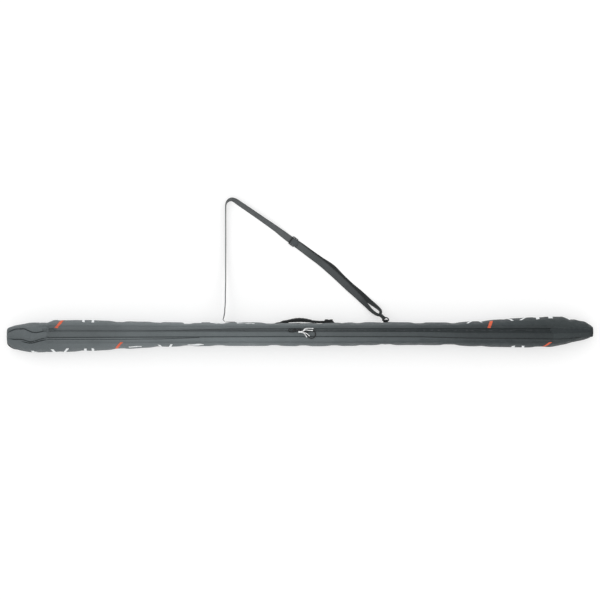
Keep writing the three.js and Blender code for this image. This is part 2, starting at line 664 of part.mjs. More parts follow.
// The last two stations of a run, on the upper (1) or lower (-1) side of the eye.
function eyeEnd(side) {
  return [EYE_LEG + 9, EYE_LEG + GAP].map((reach) => (
    lying(...atEye(reach, side * EYE_LIFT).toArray(), EYE_TILT, EYE_WIDTH)));
}

// The webbing from its foot on the bag, round the corner and down to the D-ring's eye.
const STRAP_ROUTE = {
  root: [lying(-269.5, 44.6, HARDWARE_Z, 90), lying(-276, 51, HARDWARE_Z, 90), riser(-273.5, 62),
    riser(-271, 76), riser(-270, 90)],
  riser: [riser(-268.5, 115), riser(-268.5, 145), riser(-266.5, 185), riser(-265.5, 250),
    riser(-265, 330), riser(-265, 400), standing(-265, 455, 84)],
  upper: [standing(-263, 467, 80), standing(-256, 477, 70), standing(-245, 481, 60),
    standing(-233, 477, 51), standing(-220, 468.5, 46), standing(-165, 431, 43),
    standing(-126, 404.5, 40), standing(-86, 377, 32), standing(-62, 359.6, 16),
    standing(-48, 349.7, 4), lying(-38, 342.4), lying(-29, 336)],
  lower: [lying(1, 313.4), lying(37, 286), lying(74, 258), lying(109, 228), lying(143, 197),
    lying(177, 165), lying(204, 139.5, 3.8, 0, 22), lying(221, 123.5, 5.4, 0, 17.5),
    lying(239, 107, 9.5, -5, 14), lying(264, 83.5, 22, -15, EYE_WIDTH),
    lying(277.5, 73, 30.5, -21, EYE_WIDTH), ...eyeEnd(-1)],
};
const STRAP_RETURN = [
  lying(-18, 329, FLOOR_Z), lying(3, 315.5, FLOOR_Z), lying(39, 289.5, FLOOR_Z), lying(77, 263, FLOOR_Z),
  lying(115, 237, FLOOR_Z), lying(148, 203.5, FLOOR_Z), lying(182, 172, FLOOR_Z, 0, 24),
  lying(212, 148.5, FLOOR_Z, 0, 20), lying(233, 133.5, 2.6, 0, 15), lying(250, 119.5, 7.5, -5, 13),
  lying(272, 97.5, 20.5, -15, EYE_WIDTH), lying(283, 82.5, 33, -21, EYE_WIDTH), ...eyeEnd(1),
];

function makeStrap() {
  lyingOnSide('strap_foot', STRAP_LEFT_X, STRAP_LEFT_X + 38, WEBBING_THICKNESS, 'webbing');
  const route = Object.values(STRAP_ROUTE).flat();
  const lengths = Object.values(STRAP_ROUTE).map((part) => part.length);
  const ends = lengths.map((_, i) => lengths.slice(0, i + 1).reduce((a, b) => a + b) - 1);
  add('strap_root', strap(route, 12, [0, ends[0]]), 'webbing');
  add('strap_riser', strap(route, 14, [ends[0], ends[1]]), 'webbing');
  add('strap_upper_run', strap(route, 36, [ends[1], ends[2]]), 'webbing');
  add('strap_lower_run', strap(route, 30, [ends[2], ends[3]]), 'webbing');
  add('strap_return_run', strap(STRAP_RETURN, 30), 'webbing');
  const bend = steps(90, 270, 8).map((degrees) => {
    const angle = THREE.MathUtils.degToRad(degrees);
    return atEye(EYE_LIFT * Math.cos(angle) - EYE_SLACK, EYE_LIFT * Math.sin(angle));
  });
  const loop = [atEye(EYE_LEG, EYE_LIFT), ...bend, atEye(EYE_LEG, -EYE_LIFT)];
  const alongWire = onRing(-Math.sin(STRAP_CONTACT), Math.cos(STRAP_CONTACT)).sub(RING_BAR).normalize();
  add('strap_eye', bentStrap(loop, alongWire, EYE_WIDTH, EYE_THICKNESS), 'webbing');
}

const GLIDE_Z = SECOND_Z + WEBBING_THICKNESS / 2 + 0.5;

function makeTriGlide() {
  const { length, width, thickness } = GLIDE;
  const frame = roundedRectangle(THREE.Shape, -length / 2, length / 2, -width / 2, width / 2, 4);
  const slot = width / 2 - 3.1;
  frame.holes.push(roundedRectangle(THREE.Path, 3.2 - length / 2, -1.9, -slot, slot, 1.5));
  frame.holes.push(roundedRectangle(THREE.Path, 1.9, length / 2 - 3.2, -slot, slot, 1.5));
  const group = new THREE.Group();
  group.position.set(GLIDE.x, GLIDE.y, GLIDE_Z);
  group.rotation.z = GLIDE.turn;
  bag.add(group);
  const settings = { depth: thickness, bevelEnabled: false, curveSegments: 4 };
  add('tri_glide', new THREE.ExtrudeGeometry(frame, settings), 'plastic', group);
  const over = thickness + 2 * GAP + WEBBING_THICKNESS / 2;
  const hump = [[-6.6, 0.7], [-3.9, over - 0.4], [0, over], [5.5, over], [11, over], [15, over - 1], [19, 0.7]]
    .map(([along, z]) => lying(along, 0, z));
  add('strap_over_glide', strap(hump, 14), 'webbing', group);
}

function makeDRing() {
  const { radius, side, wire, chamfer } = D_RING;
  const half = wire / 2;
  const shape = new THREE.Shape();
  shape.moveTo(-radius, -half);
  shape.lineTo(radius, -half);
  shape.lineTo(radius, side);
  shape.absarc(0, side, radius, 0, Math.PI);
  const hole = new THREE.Path();
  hole.moveTo(wire - radius, half);
  hole.lineTo(radius - wire, half);
  hole.lineTo(radius - wire, side);
  hole.absarc(0, side, radius - wire, 0, Math.PI);
  shape.holes.push(hole);
  const settings = {
    depth: wire - 2 * chamfer,
    curveSegments: 10,
    bevelSegments: 1,
    bevelThickness: chamfer,
    bevelSize: chamfer,
    bevelOffset: -chamfer,
  };
  const geometry = new THREE.ExtrudeGeometry(shape, settings).translate(0, 0, chamfer - half);
  const mesh = add('d_ring', geometry, 'metal');
  mesh.position.copy(RING_BAR);
  mesh.rotation.x = -D_RING.droop;
  makeRingTab();
}

// Webbing folded round the bar, both legs sewn to the side of the bag.
function makeRingTab() {
  const bend = WIRE_CORNER + 0.35 + WEBBING_THICKNESS / 2;
  const inner = sideY(D_RING.x) + 0.5 + WEBBING_THICKNESS / 2;
  const outer = inner + WEBBING_THICKNESS + GAP;
  const round = steps(115, -115, 10).map((degrees) => {
    const angle = THREE.MathUtils.degToRad(degrees);
    return [STRAP_AXIS_Y + bend * Math.cos(angle), HARDWARE_Z + bend * Math.sin(angle)];
  });
  const profile = [[inner, 34], [inner, 50], [inner + 0.8, 56], ...round, [outer + 0.1, 49.5], [outer, 46],
    [outer, 34]];
  const points = profile.map(([y, z]) => new THREE.Vector3(D_RING.x, y, z));
  const width = 2 * (D_RING.radius - D_RING.wire) - 1.2;
  add('d_ring_tab', bentStrap(points, new THREE.Vector3(1, 0, 0), width, WEBBING_THICKNESS), 'blackWebbing');
}

makeShell();
makeEnds();
makeBindings();
makeLips();
makeZipEnds();
makeSlider('left', SLIDER_X.left, 1);
makeSlider('right', SLIDER_X.right, -1);
makeLeftPull();
makeRightPull();
makePullCords();
makeHandle();
makeHandleBuckle();
makeStrap();
makeTriGlide();
makeDRing();

export default bag;
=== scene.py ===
import math

import bpy
import numpy as np
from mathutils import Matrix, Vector


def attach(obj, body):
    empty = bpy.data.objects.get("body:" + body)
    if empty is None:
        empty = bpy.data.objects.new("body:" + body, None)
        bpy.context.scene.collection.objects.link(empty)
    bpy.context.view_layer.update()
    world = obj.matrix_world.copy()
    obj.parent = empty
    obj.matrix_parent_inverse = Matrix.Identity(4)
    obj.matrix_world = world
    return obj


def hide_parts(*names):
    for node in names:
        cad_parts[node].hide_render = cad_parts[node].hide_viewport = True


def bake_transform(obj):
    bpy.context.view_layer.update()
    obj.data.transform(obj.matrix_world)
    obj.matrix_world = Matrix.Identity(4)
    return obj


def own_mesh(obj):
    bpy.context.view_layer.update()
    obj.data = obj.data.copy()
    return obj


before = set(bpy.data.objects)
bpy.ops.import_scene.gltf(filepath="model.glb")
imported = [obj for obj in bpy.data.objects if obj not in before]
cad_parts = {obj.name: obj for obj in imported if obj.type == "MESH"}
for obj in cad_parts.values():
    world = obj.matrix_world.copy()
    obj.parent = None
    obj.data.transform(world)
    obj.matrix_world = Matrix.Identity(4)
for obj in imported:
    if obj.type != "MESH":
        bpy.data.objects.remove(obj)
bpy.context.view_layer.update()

MM = 0.001

# ---------------------------------------------------------------- camera, light and floor

VIEW_CENTRE = (0.0, 0.122)
VIEW_WIDTH = 2.148
CAMERA_HEIGHT = 14.0
SENSOR = 36.0


def make_camera():
    data = bpy.data.cameras.new("camera")
    data.sensor_width = SENSOR
    data.lens = SENSOR * (CAMERA_HEIGHT - 0.1) / VIEW_WIDTH
    data.clip_end = 100
    camera = bpy.data.objects.new("camera", data)
    camera.location = (*VIEW_CENTRE, CAMERA_HEIGHT)
    bpy.context.scene.collection.objects.link(camera)
    bpy.context.scene.camera = camera


def make_light():
    world = bpy.data.worlds.new("studio")
    world.use_nodes = True
    background = world.node_tree.nodes["Background"]
    background.inputs["Color"].default_value = (1, 1, 1, 1)
    background.inputs["Strength"].default_value = 0.9
    bpy.context.scene.world = world
    data = bpy.data.lights.new("soft_key", "SUN")
    data.energy = 0.5
    data.angle = math.radians(60)
    key = bpy.data.objects.new("soft_key", data)
    key.rotation_euler = (math.radians(-14), math.radians(-16), 0)
    bpy.context.scene.collection.objects.link(key)
    bpy.context.scene.view_settings.view_transform = "Standard"


make_camera()
make_light()


# ---------------------------------------------------------------- small vector helpers


def unit(vectors):
    return vectors / np.maximum(np.linalg.norm(vectors, axis=-1, keepdims=True), 1e-12)


def smoothstep(low, high, value):
    t = np.clip((value - low) / (high - low), 0, 1)
    return t * t * (3 - 2 * t)


def mix(a, b, share):
    return a + (b - a) * share


def smooth_route(points, per_leg):
    """Points along a Catmull-Rom curve through the rows of `points`."""
    rows = np.asarray(points, float)
    padded = np.vstack([2 * rows[0] - rows[1], rows, 2 * rows[-1] - rows[-2]])
    found = []
    for a, b, c, d in zip(padded, padded[1:], padded[2:], padded[3:]):
        for t in np.arange(per_leg) / per_leg:
            curve = 2 * b + (c - a) * t + (2 * a - 5 * b + 4 * c - d) * t**2
            found.append((curve + (3 * b - a - 3 * c + d) * t**3) / 2)
    return np.array([*found, rows[-1]])


def lengths_along(points):
    steps = np.linalg.norm(np.diff(points, axis=0), axis=1)
    return np.concatenate([[0], np.cumsum(steps)])


def closed_up(rows):
    """The rows with the first one again at the end."""
    return np.concatenate([rows, rows[:1]])


def frames_along(points, closed=False):
    """Two crosswise directions at each point, which follow the bends without a twist."""
    if closed:
        tangents = unit(np.roll(points, -1, 0) - np.roll(points, 1, 0))
    else:
        tangents = unit(np.gradient(points, axis=0))
    side = np.cross(tangents[0], (0, 0, 1))
    if np.linalg.norm(side) < 0.1:
        side = np.cross(tangents[0], (0, 1, 0))
    sides = []
    for tangent in tangents:
        side = unit(side - np.dot(side, tangent) * tangent)
        sides.append(side)
    sides = np.array(sides)
    return sides, np.cross(tangents, sides)


# ---------------------------------------------------------------- mesh helpers


def new_object(name, vertices, faces, material, loop_uvs=None):
    mesh = bpy.data.meshes.new(name)
    mesh.from_pydata(np.asarray(vertices).reshape(-1, 3).tolist(), [], faces)
    if loop_uvs is not None:
        layer = mesh.uv_layers.new(name="cloth")
        layer.data.foreach_set("uv", np.asarray(loop_uvs, np.float32).ravel())
    mesh.materials.append(material)
    mesh.polygons.foreach_set("use_smooth", np.full(len(mesh.polygons), True))
    mesh.update()
    obj = bpy.data.objects.new(name, mesh)
    bpy.context.scene.collection.objects.link(obj)
    return obj


def grid_faces(rows, columns, closed=False):
    """Quads over a grid of points, and for each corner its place in a uv grid of the same rows,
    which has one more column when the grid is closed."""
    last = columns if closed else columns - 1
    uv_columns = last + 1
    faces, corners = [], []
    for i in range(rows - 1):
        for k in range(last):
            nxt = (k + 1) % columns
            faces.append((i * columns + k, i * columns + nxt,
                          (i + 1) * columns + nxt, (i + 1) * columns + k))
            corners += [i * uv_columns + k, i * uv_columns + k + 1,
                        (i + 1) * uv_columns + k + 1, (i + 1) * uv_columns + k]
    return faces, corners


def grid_of(along, across):
    """Every pair of a value along and a value across, as a grid."""
    return np.stack(np.meshgrid(along, across, indexing="ij"), axis=-1)


def grid_object(name, points, uv, material, closed=False):
    faces, corners = grid_faces(*points.shape[:2], closed)
    return new_object(name, points, faces, material, uv.reshape(-1, 2)[corners])


def many_grids(name, grids, material):
    """One object of many separate grids of points, all with as many rows and columns."""
    count, rows, columns = grids.shape[:3]
    template = np.array(grid_faces(rows, columns)[0])
    faces = template[None] + rows * columns * np.arange(count)[:, None, None]
    return new_object(name, grids, faces.reshape(-1, 4).tolist(), material)


def even_uv(points, closed=False):
    """A uv grid in metres: along the rows' middle, and along the middle row."""
    along = lengths_along(points.mean(axis=1))
    row = points[len(points) // 2]
    across = lengths_along(closed_up(row) if closed else row)
    return grid_of(along, across)


def swept_object(name, rings, uv, material, closed=False):
    """A skin over rings of points, with a face at each end unless the rings come round again."""
    count = rings.shape[1]
    faces, corners = grid_faces(len(rings), count, closed=True)
    if not closed:
        faces.append(tuple(range(count))[::-1])
        faces.append(tuple((len(rings) - 1) * count + k for k in range(count)))
        corners += [0] * count + [-1] * count
    return new_object(name, rings, faces, material, uv.reshape(-1, 2)[corners])


def tube_object(name, points, radius, material, sides=12, closed=False):
    """A round tube along points. Its uv runs in metres along it and from 0 to 1 round it."""
    points = np.asarray(points, float)
    side, up = frames_along(points, closed)
    angles = 2 * np.pi * np.arange(sides) / sides
    radii = np.broadcast_to(radius, len(points))[:, None, None]
    round_it = (np.cos(angles)[None, :, None] * side[:, None] + np.sin(angles)[None, :, None] * up[:, None])
    rings = points[:, None] + radii * round_it
    if closed:
        rings, points = closed_up(rings), closed_up(points)
    uv = grid_of(lengths_along(points), np.linspace(0, 1, sides + 1))
    return swept_object(name, rings, uv, material, closed)


def turned_object(name, start, direction, profile, material, sides=16):
    """A turned shape: profile holds (distance along direction, radius)."""
    axis = unit(np.asarray(direction, float))
    points = [np.asarray(start, float) + axis * along for along, _ in profile]
    radii = np.array([max(radius, 1e-5) for _, radius in profile])
    obj = tube_object(name, points, radii, material, sides)
    soften(obj)
    return obj


def soften(obj):
    modifier = obj.modifiers.new("smooth", "SUBSURF")
    modifier.levels = modifier.render_levels = 1


def thicken(obj, thickness, lining=None, crease=0.0):
    """Gives an outer surface its inside, `thickness` behind it. crease keeps its border sharp."""
    modifier = obj.modifiers.new("thickness", "SOLIDIFY")
    modifier.thickness = thickness
    modifier.offset = -1
    modifier.edge_crease_outer = modifier.edge_crease_inner = modifier.edge_crease_rim = crease
    if lining is not None:
        obj.data.materials.append(lining)
        modifier.material_offset = 1


def surface_normals(points):
    """Outward normals of a grid whose columns run anticlockwise round +X."""
    along = np.gradient(points, axis=0)
    across = np.gradient(points, axis=1)
    return unit(np.cross(across, along))


# ---------------------------------------------------------------- materials

CLOTH_PITCH = 1.5 * MM  # of the shell's threads


def linear(red, green, blue):
    """An sRGB colour, 0 to 255, as the linear colour that shaders use."""
    values = np.array([red, green, blue]) / 255
    low = values / 12.92
    high = ((values + 0.055) / 1.055) ** 2.4
    return (*np.where(values <= 0.04045, low, high), 1.0)


class Paint:
    """A node material being made. Each method adds a node and gives its output."""

    def __init__(self, name, **sockets):
        self.material = bpy.data.materials.new(name)
        self.material.use_nodes = True
        self.tree = self.material.node_tree
        self.shader = self.tree.nodes["Principled BSDF"]
        self.coordinates = self.node("TexCoord", {}).outputs
        for socket, value in sockets.items():
            self.shader.inputs[socket.replace("_", " ")].default_value = value

    def feed(self, socket, value):
        if isinstance(value, bpy.types.NodeSocket):
            self.tree.links.new(value, socket)
        else:
            socket.default_value = value

    def node(self, kind, inputs, **settings):
        """Adds a node. inputs holds values or other nodes' outputs, by socket."""
        node = self.tree.nodes.new(f"ShaderNode{kind}")
        for setting, value in settings.items():
            setattr(node, setting, value)
        for socket, value in inputs.items():
            self.feed(node.inputs[socket], value)
        return node

    def math(self, operation, a, b=0.0):
        return self.node("Math", {0: a, 1: b}, operation=operation).outputs[0]

    def times(self, a, b):
        return self.math("MULTIPLY", a, b)

    def parts(self, vector):
        return self.node("SeparateXYZ", {0: vector}).outputs

    def stretched(self, scale):
        return self.node("Mapping", {"Vector": self.coordinates["Object"], "Scale": scale}).outputs[0]

    def noise(self, scale, detail=2.0, vector=None):
        place = vector or self.coordinates["Object"]
        return self.node("TexNoise", {"Vector": place, "Scale": scale, "Detail": detail}).outputs[0]

    def remap(self, value, low, high, to_low, to_high):
        limits = {1: low, 2: high, 3: to_low, 4: to_high}
        return self.node("MapRange", {"Value": value, **limits}).outputs[0]

    def uneven(self, scale, detail, low, high):
        """A cloudy amount that wanders between low and high."""
        return self.remap(self.noise(scale, detail), 0.3, 0.7, low, high)

    def ramp(self, value, stops):
        node = self.node("ValToRGB", {"Fac": value})
        elements = node.color_ramp.elements
        while len(elements) < len(stops):
            elements.new(0.5)
        for element, (at, colour) in zip(elements, stops):
            element.position = at
            element.color = colour
        return node.outputs[0]

    def blend(self, share, a, b):
        return self.node("Mix", {0: share, 6: a, 7: b}, data_type="RGBA").outputs[2]

    def shade(self, colour, amount):
        """The colour, made lighter or darker by `amount`, a number round 1."""
        base = colour[:3] if isinstance(colour, tuple) else colour
        return self.node("VectorMath", {0: base, "Scale": amount}, operation="SCALE").outputs[0]

    def finish(self, colour, roughness=None, height=None):
        self.feed(self.shader.inputs["Base Color"], colour)
        if roughness is not None:
            self.feed(self.shader.inputs["Roughness"], roughness)
        if height is not None:
            bump = self.node("Bump", {"Distance": 1.0, "Height": height})
            self.feed(self.shader.inputs["Normal"], bump.outputs[0])
        return self.material


def total(paint, *values):
    result = values[0]
    for value in values[1:]:
        result = paint.math("ADD", result, value)
    return result


def length_ramp(paint, stops):
    """Colours that change along the length of the bag."""
    x, _, _ = paint.parts(paint.coordinates["Object"])
    return paint.ramp(paint.remap(x, -1.05, 1.05, 0, 1), stops)


def plain_weave(paint, pitch):
    """Threads over and under each other on a uv in metres, from -1 to 1."""
    u, v, _ = paint.parts(paint.coordinates["UV"])
    warp = paint.math("SINE", paint.times(u, 2 * math.pi / pitch))
    weft = paint.math("SINE", paint.times(v, 2 * math.pi / pitch))
    return paint.times(warp, weft)


def woven_cloth(name, stops, pitch=CLOTH_PITCH, depth=0.12 * MM, dents=1.0, sheen=0.10):
    """Plain-woven polyester on a uv in metres. stops gives its colour along the bag's length, with any
    painted shading they hold.
    """
    paint = Paint(name, Roughness=0.8, Sheen_Weight=sheen, Sheen_Roughness=0.45, Specular_IOR_Level=0.3)
    weave = plain_weave(paint, pitch)
    base = length_ramp(paint, stops)
    cloudy = paint.uneven(9, 3, 0.93, 1.07)
    flecks = paint.remap(paint.noise(700, 1), 0.25, 0.75, 0.9, 1.1)
    threads = paint.remap(weave, -1, 1, 0.93, 1.05)
    colour = paint.shade(paint.shade(paint.shade(base, cloudy), flecks), threads)
    rough = paint.uneven(60, 2, 0.72, 0.88)
    soft_dents = paint.times(paint.noise(1, 2, paint.stretched((14, 30, 30))), 2.2 * MM * dents)
    puckers = paint.times(paint.noise(1, 2, paint.stretched((75, 40, 40))), 0.7 * MM * dents)
    height = total(paint, paint.times(weave, depth), soft_dents, puckers)
    return paint.finish(colour, rough, height)


def woven_webbing(name, stops, pitch=2.0 * MM, depth=0.22 * MM, edge=0.7, sheen=0.2, span=1.2):
    """Herringbone webbing on a uv of metres along and 0 to 1 across. stops gives its colour, with any
    painted shade, along
    `span` metres, and its two borders are darker."""
    paint = Paint(name, Roughness=0.75, Sheen_Weight=sheen, Sheen_Roughness=0.4, Specular_IOR_Level=0.35)
    u, v, _ = paint.parts(paint.coordinates["UV"])
    from_middle = paint.math("ABSOLUTE", paint.math("SUBTRACT", v, 0.5))
    zigzag = paint.math("PINGPONG", v, 0.125)
    phase = paint.math("ADD", u, paint.times(zigzag, 16 * MM))
    ribs = paint.math("ABSOLUTE", paint.math("SINE", paint.times(phase, math.pi / pitch)))
    loops = paint.math("SINE", paint.times(u, 2 * math.pi / (6 * MM)))
    reach = paint.math("ADD", from_middle, paint.times(loops, 0.02))
    border = paint.remap(reach, 0.36, 0.42, 0, 1)
    base = paint.ramp(paint.remap(u, 0, span, 0, 1), stops)
    cloudy = paint.uneven(22, 3, 0.92, 1.08)
    threads = paint.remap(ribs, 0, 1, 0.84, 1.08)
    edges = paint.remap(border, 0, 1, 1, edge)
    colour = paint.shade(paint.shade(paint.shade(base, cloudy), threads), edges)
    rough = paint.uneven(90, 2, 0.66, 0.84)
    height = total(paint, paint.times(ribs, depth),
                   paint.times(border, -0.25 * MM),
                   paint.times(paint.noise(45, 2), 1.2 * MM))
    return paint.finish(colour, rough, height)


def moulded_plastic(name, colour, worn, roughness=0.42):
    """Nylon with a fine grain and dull scuffs. colour may be stops along the bag's length, painted shading
    included.
    """
    paint = Paint(name, Specular_IOR_Level=0.35)
    if isinstance(colour, list):
        colour = length_ramp(paint, colour)
    scuffs = paint.remap(paint.noise(130, 4), 0.52, 0.68, 0, 0.5)
    mixed = paint.blend(scuffs, colour, worn)
    rough = paint.uneven(260, 3, roughness - 0.08, roughness + 0.14)
    grain = paint.times(paint.noise(2600, 2), 0.05 * MM)
    sink = paint.times(paint.noise(110, 1), 0.25 * MM)
    return paint.finish(mixed, rough, total(paint, grain, sink))


def painted_metal(name, colour, bare):
    """Die-cast zinc with a dark plating that is rubbed thin in places."""
    paint = Paint(name, Metallic=0.25)
    rubbed = paint.remap(paint.noise(240, 4), 0.56, 0.7, 0, 0.65)
    mixed = paint.blend(rubbed, colour, bare)
    rough = paint.uneven(420, 3, 0.28, 0.5)
    pits = paint.times(paint.noise(1500, 3), 0.06 * MM)
    return paint.finish(mixed, rough, pits)


def braided_cord(name, colour, shadow):
    """A braided cover on a uv of metres along and 0 to 1 round."""
    paint = Paint(name, Roughness=0.6, Sheen_Weight=0.15, Sheen_Roughness=0.5)
    u, v, _ = paint.parts(paint.coordinates["UV"])
    along = paint.times(u, 2 * math.pi / (2.6 * MM))
    round_it = paint.times(v, 8 * math.pi)
    one_way = paint.math("SINE", paint.math("ADD", along, round_it))
    other_way = paint.math("SINE", paint.math("SUBTRACT", along, round_it))
    strands = paint.math("MAXIMUM", one_way, other_way)
    crossing = paint.remap(strands, -0.6, 0.7, 0, 1)
    mixed = paint.blend(crossing, shadow, colour)
    grime = paint.remap(paint.noise(160, 3), 0.3, 0.75, 1.0, 0.9)
    return paint.finish(paint.shade(mixed, grime), None, paint.times(crossing, 0.25 * MM))


def printed_ink(name, colour):
    """Screen-printed ink, a little worn, that takes on the weave beneath it."""
    paint = Paint(name, Roughness=0.6, Specular_IOR_Level=0.3)
    weave = plain_weave(paint, CLOTH_PITCH)
    wear = paint.uneven(420, 4, 0.86, 1.04)
    tone = paint.shade(paint.shade(colour, wear), paint.remap(weave, -1, 1, 0.95, 1.03))
    rough = paint.uneven(80, 2, 0.5, 0.7)
    return paint.finish(tone, rough, paint.times(weave, 0.07 * MM))


def sewing_thread(name, colour):
    """Twisted polyester thread, glossier than the cloth. colour is given as stops along the bag, with any
    painted shading they hold.
    """
    paint = Paint(name, Sheen_Weight=0.2, Sheen_Roughness=0.4)
    colour = length_ramp(paint, colour)
    twist = paint.remap(paint.noise(1, 1, paint.stretched((1500, 600, 600))), 0.3, 0.7, 0.82, 1.12)
    rough = paint.uneven(300, 1, 0.45, 0.62)
    return paint.finish(paint.shade(colour, twist), rough, paint.times(twist, 0.05 * MM))


def studio_floor():
    """A white table top lit from below, with a barely visible tooth."""
    paint = Paint("studio_floor", Specular_IOR_Level=0.1, Emission_Strength=0.45)
    tone = paint.shade(linear(205, 205, 205), paint.uneven(3, 2, 0.99, 1.0))
    return paint.finish(tone, 0.9, paint.times(paint.noise(600, 2), 0.02 * MM))


def painted_shading_along_bag(light=1.0):
    """The shell's grey from the left end to the right, with painted light and shade: painted lighter in the
    middle, painted shade at the right.
    """
    stops = [(0.0, (92, 98, 100)), (0.1, (98, 104, 106)), (0.25, (109, 116, 118)), (0.42, (109, 116, 118)),
             (0.58, (93, 99, 101)), (0.7, (79, 85, 87)), (0.84, (61, 67, 69)), (1.0, (53, 59, 60))]
    return [(at, linear(*(light * np.array(colour)))) for at, colour in stops]


def steady(*colour):
    return [(0.0, linear(*colour)), (1.0, linear(*colour))]


# The shell, its turned edge, its soft seams and its grey thread take the painted light and shade along the
# bag.
CLOTH = woven_cloth("shell_cloth", painted_shading_along_bag())
CLOTH_BAND = woven_cloth("shell_cloth_turned_edge", painted_shading_along_bag(0.91), dents=0.5)
LINING = woven_cloth("lining_cloth", steady(47, 50, 52), pitch=1.0 * MM, depth=0.06 * MM, sheen=0.4)
# The zip's grey tape and coil, with painted shade that darkens them towards the right end, as on the shell.
ZIP_TONE_AND_SHADING = [(0.0, linear(88, 94, 96)), (0.45, linear(90, 96, 98)), (0.66, linear(60, 66, 68)),
               (0.85, linear(48, 54, 56)), (1.0, linear(42, 48, 50))]
TAPE = woven_cloth("zip_tape_cloth", ZIP_TONE_AND_SHADING, pitch=1.0 * MM, dents=0.1)
GRIP_CLOTH = woven_cloth("grip_sleeve_cloth", steady(27, 29, 30), pitch=1.2 * MM, dents=0.5, sheen=0.3)
BINDING = woven_cloth("binding_tape", steady(36, 40, 42), pitch=1.2 * MM, dents=0.2)
# Dark cloth on the welt's seams, the right end's seam and the left end's folds: painted shade in their
# grooves and creases, darker towards the right end.
SEAM_SHADE = woven_cloth("seam_fold_painted_shade", [(0.0, linear(42, 47, 49)), (0.35, linear(56, 61, 63)),
                                       (0.6, linear(46, 51, 53)), (1.0, linear(22, 26, 27))],
                   pitch=1.0 * MM, dents=0.1)
# A little darker than the shell along its long seams: painted seam shade, on the painted shading along the
# bag.
SOFT_SEAM = woven_cloth("edge_seam_cloth", painted_shading_along_bag(0.94), pitch=1.0 * MM, dents=0.1)
COIL = moulded_plastic("zip_coil_nylon", ZIP_TONE_AND_SHADING, linear(104, 108, 110), 0.5)
# The grey strap darkens sharply at both ends, where it rises off the floor to the bag and to the D-ring:
# painted shade.
GREY_WEBBING = woven_webbing("grey_webbing", [
    (0.0, linear(50, 53, 54)), (0.05, linear(80, 84, 86)), (0.36, linear(84, 88, 89)),
    (0.40, linear(93, 96, 97)), (0.62, linear(88, 91, 92)), (0.68, linear(73, 77, 78)),
    (0.86, linear(70, 73, 75)), (0.92, linear(44, 48, 49)), (1.0, linear(32, 35, 36))])
# The strap's return run and its eye round the D-ring: the grey webbing painted dark, as painted shade under
# the front run and round the ring.
SHADED_BACK_WEBBING = woven_webbing("grey_webbing_back_painted_shade", steady(34, 38, 39), edge=0.8)
GLIDE_WEBBING = woven_webbing("grey_webbing_over_bar", steady(74, 78, 80), edge=0.8)
BLACK_WEBBING = woven_webbing("black_webbing", steady(30, 32, 33), pitch=1.6 * MM, edge=0.85)
PLASTIC = moulded_plastic("black_nylon", linear(22, 24, 25), linear(44, 46, 48))
METAL = painted_metal("dark_plated_zinc", linear(24, 26, 28), linear(78, 80, 83))
CORD = braided_cord("white_cord_cover", linear(252, 252, 252), linear(222, 225, 226))
TIP = moulded_plastic("white_cord_tip", linear(238, 240, 240), linear(214, 217, 218), 0.35)
THREAD = sewing_thread("grey_thread", painted_shading_along_bag(0.82))
DARK_THREAD = sewing_thread("black_thread", steady(38, 40, 42))
WHITE_INK = printed_ink("white_ink", linear(236, 239, 240))
ORANGE_INK = printed_ink("orange_ink", linear(222, 100, 68))


def make_floor():
    side, count = 160.0, 13
    axis = np.linspace(-side / 2, side / 2, count)
    x, y = np.meshgrid(axis, axis, indexing="ij")
    points = np.stack([y, x, np.full_like(x, -0.4 * MM)], axis=-1)[:, ::-1]
    floor = grid_object("floor", points, even_uv(points), studio_floor())


make_floor()

# ---------------------------------------------------------------- the pull cords

CORD_DIAMETER = 2.8 * MM
PULL_CORDS = {
    "pull_cord_a": [(2, 9.6, 121.9), (8, 9.8, 122), (12.5, 12.4, 122.2), (15.5, 17.2, 120.8),
                    (21, 20, 118), (30, 20.6, 115.6), (39, 20.3, 115), (48, 20, 114.9)],
    "pull_cord_b": [(2, 9.6, 125.4), (8, 9.6, 125.4), (13, 11.6, 125.4), (17.5, 14.8, 124.5),
                    (23, 15.2, 122.9), (31, 13.8, 122.3), (39, 13.3, 122.2), (46, 13, 122.2)],
    "pull_cord_c": [(2, 6.2, 121.9), (8, 6.2, 122), (13, 4, 121.6), (17.5, -0.6, 120.2),
                    (21.3, -5.6, 119.2), (24.6, -11, 118.6)],
    "pull_cord_d": [(2, 6.2, 125.4), (8, 6, 125.4), (14, 4.9, 125.2), (20, 3.6, 124.4),
                    (25, 1.2, 122.9), (29.5, -2.4, 121.6), (34, -7, 119.6)],
}
TIP_PROFILE = [(-5.2, 1.45), (-5.0, 1.75), (-4.2, 1.9), (-1.6, 1.95), (-0.4, 1.7), (0.3, 1.1), (0.5, 0.0)]


def make_pull_cords():
    for name, route in PULL_CORDS.items():
        path = smooth_route(np.array(route) * MM, 5)
        cord = tube_object(f"white_{name}", path, CORD_DIAMETER / 2, CORD)
        tip = turned_object(f"white_{name}_tip", path[-1], path[-1] - path[-3],
                            [(a * MM, r * MM) for a, r in TIP_PROFILE], TIP)
        for piece in (cord, tip):
            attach(piece, "pull_right")
        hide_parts(name)


def make_stopper():
    """The moulded bead that the four cords come out of."""
    profile = [(-6.2, 0), (-6.0, 1.5), (-5.1, 3.0), (-3.4, 3.8), (-1.7, 3.3), (-0.6, 2.2), (0.4, 1.9),
               (1.6, 2.3), (2.8, 3.3), (5.2, 3.6), (6.0, 3.4), (6.2, 2.6)]
    stopper = turned_object("pull_stopper", (0, 7.9 * MM, 123.6 * MM), (1, 0, 0),
                            [(a * MM, r * MM) for a, r in profile], TIP)
    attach(stopper, "pull_right")
    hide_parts("pull_stopper_ball")


make_pull_cords()
make_stopper()

# ---------------------------------------------------------------- the bag's outline and section

